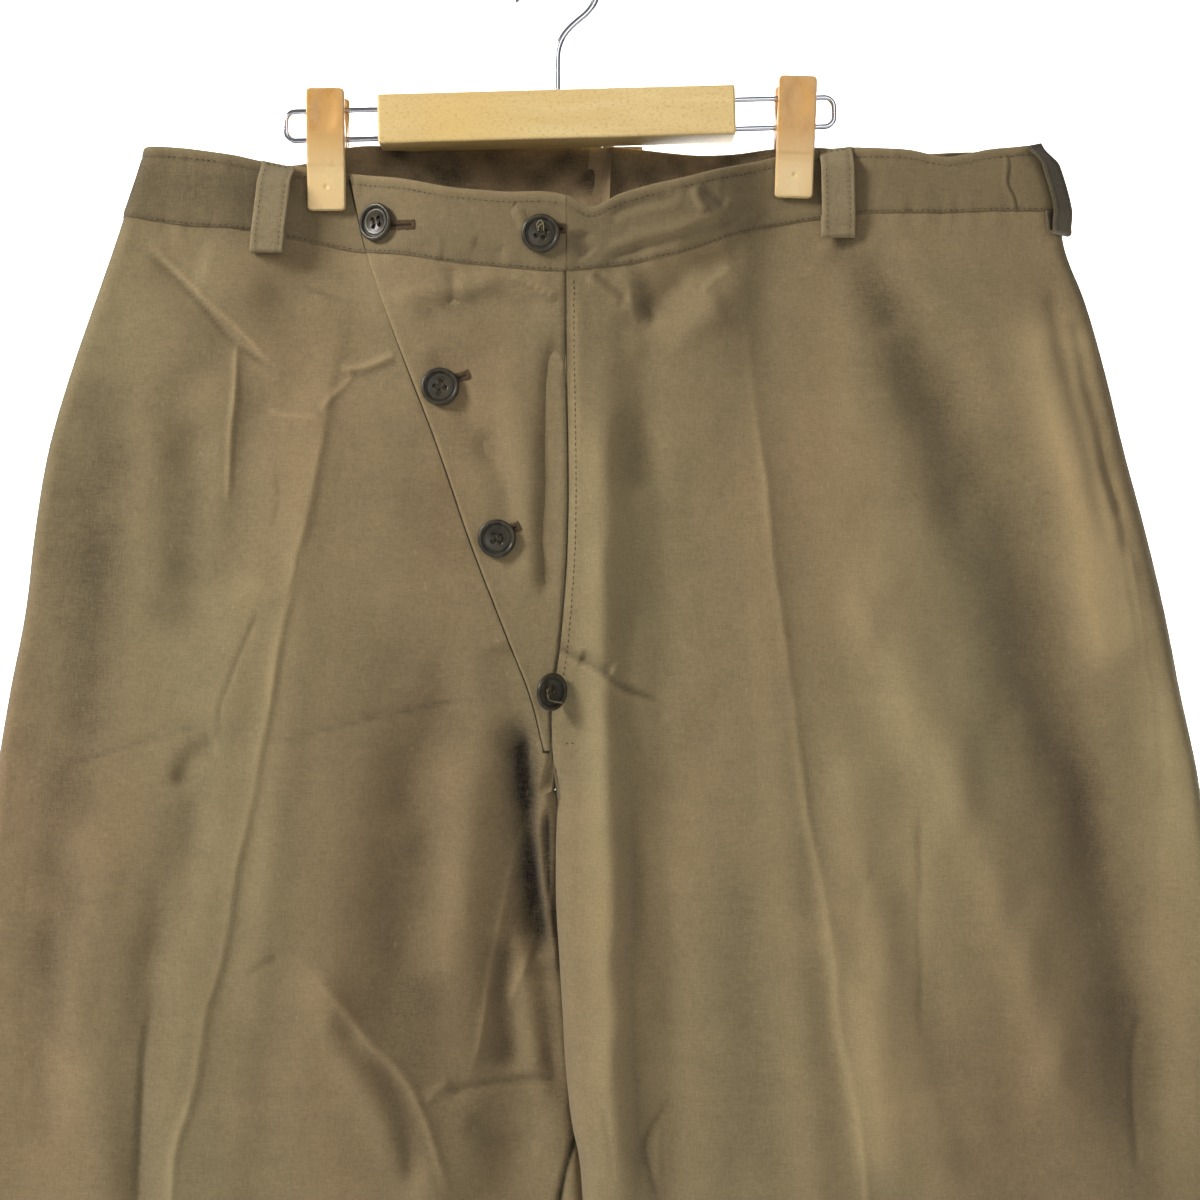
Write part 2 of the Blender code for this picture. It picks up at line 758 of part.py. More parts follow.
def make_wires():
    """A bent wire stands out of each end of the bar and carries a clip."""
    upper, lower = (BAR_TOP - drop for drop in WIRE_DROPS)
    for side, reach in zip(("left", "right"), WIRE_REACH):
        outward = -1 if side == "left" else 1
        start = outward * (BAR_SIZE[0] / 2 + GAP)
        bend = reach - outward * WIRE_CORNER
        inset = WIRE_CORNER
        top_arc = arc((abs(bend), upper - inset), WIRE_CORNER, 90, 0, 4)
        bottom_arc = arc((abs(bend), lower + inset), WIRE_CORNER, 0, -90, 4)
        path = [(abs(start), 0.0, upper)] + top_arc + bottom_arc + [(abs(start), 0.0, lower)]
        path = [tilted((outward * x, y, z)) for x, y, z in path]
        rod(f"hanger_wire_{side}", path, WIRE_RADIUS, STEEL)


def make_hook():
    """A question-mark hook whose inner top is the origin."""
    centre = (0.0, -HOOK_INNER_RADIUS)
    radius = HOOK_INNER_RADIUS + HOOK_WIRE_RADIUS
    crook = arc(centre, radius, -52, 205, 22)
    foot = Vector((0, 0, BAR_TOP + GAP))
    neck = Vector((0, 0, centre[1] - radius - 18))
    join = Vector(crook[0])
    lead = Vector((sin(radians(52)), 0, cos(radians(52)))) * 12
    shank = [foot, foot.lerp(neck, 0.5), neck]
    for step in range(1, 7):
        t = step / 7
        handle_a, handle_b = neck + Vector((0, 0, 10)), join - lead
        shank.append(
            neck * (1 - t) ** 3 + handle_a * 3 * t * (1 - t) ** 2 + handle_b * 3 * t * t * (1 - t) + join * t**3
        )
    rod("hanger_hook", [tuple(point) for point in shank] + crook, HOOK_WIRE_RADIUS, STEEL)


def clip_arm(name, outward, arm_top, arm_bottom, pivot, seat):
    """An arm of a clip: a side profile, wide where it pivots on the lower wire, drawn out sideways."""
    profile = (
        (12.4, arm_top),
        (9.4, arm_top - 0.6),
        (7.6, pivot + 13.0),
        (WIRE_RADIUS + GAP, pivot + 2.6),
        (WIRE_RADIUS + GAP, pivot - 2.6),
        (6.4, pivot - 9.0),
        (seat, arm_bottom + 19.0),
        (seat, arm_bottom + 0.8),
        (seat + 3.4, arm_bottom),
        (seat + 4.4, arm_bottom + 14.0),
        (10.8, pivot - 3.0),
    )
    half = CLIP_WIDTH / 2
    count = len(profile)
    points = [(x, outward * y, z) for x in (-half, half) for y, z in profile]
    faces = [list(range(count)), list(range(count, 2 * count))]
    faces += [(i, (i + 1) % count, count + (i + 1) % count, count + i) for i in range(count)]
    return add_object(name, closed_mesh(name, points, faces), PLASTIC)


def make_clips():
    lower = BAR_TOP - WIRE_DROPS[1]
    upper = BAR_TOP - WIRE_DROPS[0]
    seat = GAP / 2 + GRIP_DEPTH + BAND_PROUD + 0.9
    for row in named_rows(CLIP_COLUMNS, CLIPS):
        pivot = tilted((row["x"], 0.0, lower))[2]
        above = row["top"] - pivot
        below = -CLIP_BELOW_PIVOT
        spring_z = tilted((row["x"], 0.0, upper))[2] + WIRE_RADIUS + 4.0 - pivot
        place = Matrix.Translation(Vector((row["x"], 0, pivot)) * MM)
        lean = Matrix.Rotation(radians(row["lean"]), 4, "Y")
        for face, outward in (("front", -1), ("back", 1)):
            arm = clip_arm(f"{row['name']}_{face}_arm", outward, above, below, 0.0, seat)
            arm.matrix_world = place @ lean
        reach = 8.2
        coil = ((0, -reach), (3.0, -reach), (3.0, reach), (0, reach))
        spring = turned(f"{row['name']}_spring", coil, STEEL, 12)
        upright = Matrix.Translation(Vector((0, 0, spring_z)) * MM) @ Matrix.Rotation(pi / 2, 4, "X")
        spring.matrix_world = place @ lean @ upright


def main():
    for old in list(bpy.data.objects):
        bpy.data.objects.remove(old, do_unlink=True)
    make_panels()
    make_flap()
    make_waistband()
    make_belt_loops()
    make_buttons()
    make_bar()
    make_wires()
    make_hook()
    make_clips()


main()
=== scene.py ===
"""Looks of the trousers on their hanger: cloth shells with creases and stitching, buttons, loops, hanger.

Sizes are in millimetres and become metres when a mesh is made. +Z is up, the front faces -Y, and
left and right are the viewer's. Every cloth piece is a shell raised on the garment's front or back
surface, which the first tables describe; the crease table adds the creases, rubbed paler in places,
with shade and highlight painted into the cloth's colour.
"""

from math import cos, pi, radians, sin

import bmesh
import bpy
import numpy as np
from mathutils import Matrix, Vector


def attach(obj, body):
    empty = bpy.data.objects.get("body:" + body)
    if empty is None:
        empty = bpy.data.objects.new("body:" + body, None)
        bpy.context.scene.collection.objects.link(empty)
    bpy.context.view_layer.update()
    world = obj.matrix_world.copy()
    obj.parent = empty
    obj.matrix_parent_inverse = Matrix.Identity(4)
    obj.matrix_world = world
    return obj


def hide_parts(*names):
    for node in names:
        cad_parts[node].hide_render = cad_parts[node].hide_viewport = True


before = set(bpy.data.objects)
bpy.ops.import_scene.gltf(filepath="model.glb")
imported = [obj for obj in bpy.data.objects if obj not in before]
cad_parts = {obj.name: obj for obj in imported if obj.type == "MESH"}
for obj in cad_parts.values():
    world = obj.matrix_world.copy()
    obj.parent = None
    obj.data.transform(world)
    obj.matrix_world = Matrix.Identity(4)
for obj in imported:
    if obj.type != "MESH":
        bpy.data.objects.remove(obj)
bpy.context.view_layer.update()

MM = 0.001
GAP = 0.3
FACING = {"front": -1.0, "back": 1.0}
LEG_SIGN = {"left": -1, "right": 1}
FORWARD = np.array((0.0, -1.0, 0.0))

# Cloth layers and how far each stands off the panels' surface.
FLAP_PROUD = 2.6
BAND_PROUD = 0.9
BAND_THICK = 2.4
FLAP_BAND_PROUD = 3.5
FLAP_BAND_THICK = 1.8

# Heights of the trousers' main levels.
BAND_SEAM = -143.0
CROTCH_TURN = -405.0
CROTCH = -447.0
FLAP_END = -424.0
HEM = -1188.0

# Steps down a panel: fine ones as far as this height and coarse ones below it.
FINE_TO = -672.0
COARSE_STEP = 9.0

# Edges folded under: the fold's radius and how far the cloth reaches back.
TURN_RADIUS = 0.7
HEM_TURN = 26.0
FLAP_TURN = 9.0

# How the flat-hanging tubes roll round at their seams, and how the waist is gripped.
ROLL = 9.0
GRIP_DEPTH = 1.65
GRIP_REACH = 30.0
GRIP_FADE = (-142.0, -300.0)
LIFT_REACH = 34.0
LEG_SET = {"left": 10.0, "right": -8.0}
LEG_PART = 80.0

# Hanger.
BAR_SIZE = (188.0, 22.0, 26.0)
BAR_TOP = -78.0
BAR_TILT = radians(1.54)
WIRE_RADIUS = 1.5
WIRE_DROPS = (5.6, 21.0)
WIRE_REACH = (-143.6, 146.8)
WIRE_CORNER = 5.0
HOOK_WIRE_RADIUS = 1.9
HOOK_INNER_RADIUS = 20.0
CLIP_WIDTH = 20.2
CLIP_BELOW_PIVOT = 38.5
CLIP_CORNER = 2.4
CLIP_EDGE = 1.3
CLIP_STATIONS = (0, 0.10, 0.30, 0.40, 0.62, 1.0)

BUTTON_FOOT_RADIUS = 8.3
LOOP_WIDTH = 17.5
LOOP_LENGTH = 47.0
LOOP_STAND_OFF = 5.3
LOOP_WALL = 1.6
LOOP_SEAM = 2.7
FOLD_RADIUS = 1.7
SIDE_LOOP_TURN = radians(45)
# Painted shadow: the side loop's colour is darkened by this much for the shade it hangs in.
SIDE_LOOP_SHADE = -0.58

# Camera: level, one metre in front of the cloth.
CAMERA_AT = (22.8, -1000.0, -346.0)
FRAME_WIDTH = 636.0
FLOOR_Z = -1262.0


def table(names, *rows):
    """Columns by name, sorted by the first of them."""
    columns = np.array(sorted(rows), dtype=float).T
    return dict(zip(names.split(), columns))


OUTLINE = table(
    "z left right",
    (-104, -217, 253),
    (-119, -221, 260),
    (-134, -226, 265),
    (-161, -235, 269),
    (-187, -244, 279),
    (-225, -257, 290),
    (-267, -269, 300),
    (-309, -276, 311),
    (-352, -281, 321),
    (-394, -289, 329),
    (-437, -296, 338),
    (-560, -304, 346),
    (-700, -304, 345),
    (-900, -299, 334),
    (-1188, -292, 316),
)

# The centre seams down to the crotch.
CENTRE = table(
    "z front back",
    (-104, 5.5, 24),
    (-200, 5.3, 19),
    (-335, 5.0, 8),
    (-373, 1.6, 4),
    (-399, -2.0, 1),
    (-447, -1.0, -1),
)

# The inseams below it. The right leg hangs a little in front of the left one.
INSEAM = table(
    "z left right",
    (-447, 0.6, -0.8),
    (-462, 2.0, -0.9),
    (-470, 2.2, -0.7),
    (-505, 2.6, -0.3),
    (-534, 4.6, 1.4),
    (-558, 6.6, 2.8),
    (-601, 9.5, 5.6),
    (-625, 12.0, 8.8),
    (-636, 13.4, 11.3),
    (-664, 16.0, 14.0),
    (-700, 14.0, 17.0),
    (-740, 6.0, 19.5),
    (-800, -6.0, 23.0),
    (-1188, -15.0, 35.0),
)

# Upper edge of the waistband and the seam below it, front and back.
WAIST = {}
WAIST["front"] = table(
    "x top seam",
    (-230, -108, -144),
    (-192, -110, -150),
    (-171, -113, -151),
    (-156, -116, -153),
    (-133, -118, -157),
    (-109, -122, -162),
    (-81, -127, -166),
    (-55, -133, -171),
    (-29, -136, -174),
    (7, -139, -176),
    (17, -144, -175),
    (33, -137, -173),
    (64, -128, -166),
    (96, -119, -154),
    (115, -113, -149),
    (139, -109, -145),
    (165, -109, -143),
    (185, -110, -143),
    (206, -114, -143),
    (228, -110, -142),
    (268, -107, -142),
)
WAIST["back"] = table(
    "x top seam",
    (-230, -108, -144),
    (-171, -112, -147),
    (-133, -115, -148),
    (-112, -107.5, -148),
    (-94, -105.2, -147),
    (-50, -103.2, -145),
    (24, -102.5, -144),
    (60, -106.5, -145),
    (96, -109, -146),
    (126, -107, -145),
    (165, -108, -144),
    (268, -107, -142),
)

# Depth of the front and the back from the middle plane, at five places from outseam to centre.
PLACES = np.array((0.08, 0.3, 0.5, 0.75, 1.0))
DEPTH = {
    "front": table(
        "z side wing crease inner centre",
        (-104, 9, 10, 14, 24, 27),
        (-150, 9, 10, 13, 22, 25),
        (-220, 10, 13, 15, 19, 21),
        (-320, 12, 17, 19, 20, 20),
        (-400, 13, 20, 23, 21, 18),
        (-447, 13, 21, 24, 20, 15),
        (-560, 12, 20, 24, 19, 13),
        (-800, 10, 17, 21, 16, 11),
        (-1188, 9, 14, 17, 13, 9),
    ),
    "back": table(
        "z side wing crease inner centre",
        (-104, 8, 9, 12, 15, 16),
        (-150, 8, 10, 12, 15, 16),
        (-220, 10, 14, 18, 20, 20),
        (-320, 12, 20, 25, 27, 26),
        (-400, 13, 22, 28, 27, 22),
        (-447, 13, 22, 28, 24, 17),
        (-560, 12, 20, 25, 20, 13),
        (-800, 10, 17, 21, 16, 11),
        (-1188, 9, 14, 17, 13, 9),
    ),
}

# Largest folds: ridges stand out and troughs go in. Each runs from start to end, bowed sideways:
# side, start x and z, end x and z, bow, height, width.
FOLDS = (
    ("front", -110, -150, -214, -1188, -6, 2.4, 11),
    ("front", 99, -150, 190, -1188, -8, 2.4, 11),
    ("front", 160, -160, 326, -700, 40, -8.0, 22),
    ("front", 226, -175, 352, -600, 26, 5.0, 16),
    ("front", 24, -190, 32, -760, 0, 5.5, 15),
    ("front", 52, -230, 62, -800, 0, -4.5, 15),
    ("front", -78, -330, -70, -640, 0, -4.5, 22),
    ("front", -20, -390, -28, -700, 4, -7.0, 20),
    ("front", -134, -525, -50, -690, 0, 3.5, 11),
    ("front", -160, -480, -150, -1000, 0, -3.0, 30),
    ("front", 240, -520, 235, -1050, 0, -3.0, 26),
    ("front", -214, -164, -150, -235, 0, -2.5, 10),
    ("front", 52, -178, 112, -146, 0, -2.5, 9),
    ("back", -112, -150, -214, -1188, -6, 2.4, 11),
    ("back", 104, -150, 190, -1188, -8, 2.4, 11),
    ("back", -60, -360, -235, -500, 12, -5.0, 20),
    ("back", 55, -360, 255, -520, 14, -5.0, 20),
    ("back", -190, -190, -255, -420, -10, -4.5, 20),
    ("back", 215, -190, 300, -470, 12, -4.5, 22),
    ("back", 24, -150, 6, -380, 0, -3.0, 16),
    ("back", -90, -560, -110, -1100, 0, -3.5, 26),
    ("back", 130, -540, 120, -1080, 0, -3.5, 26),
)

# Slanted free edge of the flap.
FLAP_EDGE = table(
    "z x",
    (-122, -109),
    (-162, -99),
    (-216, -80),
    (-263, -62),
    (-318, -43),
    (-367, -24),
    (-398, -12),
    (-424, -5.5),
)

# Buttons lie on the flap; a tilted one stands on its thread, clear of the cloth. Each has its place, the
# height of the layer below it, its tilt and turn in degrees, and the kind of its loose thread.
BUTTONS = (
    ("button_waist_outer", -91.9, -148.4, FLAP_BAND_PROUD, 0.0, 12, ""),
    ("button_waist_centre", -7.6, -157.0, FLAP_BAND_PROUD, 0.0, -20, "looped"),
    ("button_flap_upper", -60.3, -235.7, FLAP_PROUD, 0.0, 35, ""),
    ("button_flap_middle", -30.5, -314.3, FLAP_PROUD, 0.0, -8, ""),
    ("button_flap_lower", -4.2, -392.6, FLAP_PROUD, 36.0, 20, "trailing"),
)

# Belt loops: sewn on at the waistband's top, and below its seam, 115 mm apart round the waist.
# Each has its layer, its x and how far its foot leans over.
LOOPS = (
    ("belt_loop_front_right", "left", -146.5, -5.5),
    ("belt_loop_front_left", "right", 147.0, 1.0),
    ("belt_loop_back_left", "back_right", 154.0, 0.0),
    ("belt_loop_back_centre", "back_right", 37.0, 0.0),
    ("belt_loop_back_right", "back_left", -79.0, 0.0),
    ("belt_loop_back_far_right", "back_left", -194.0, 0.0),
)

# Clips: x, height of the top, lean in degrees.
CLIPS = (
    ("clip_left", -121.3, -77.5, 0.0),
    ("clip_right", 126.0, -71.1, 1.7),
)


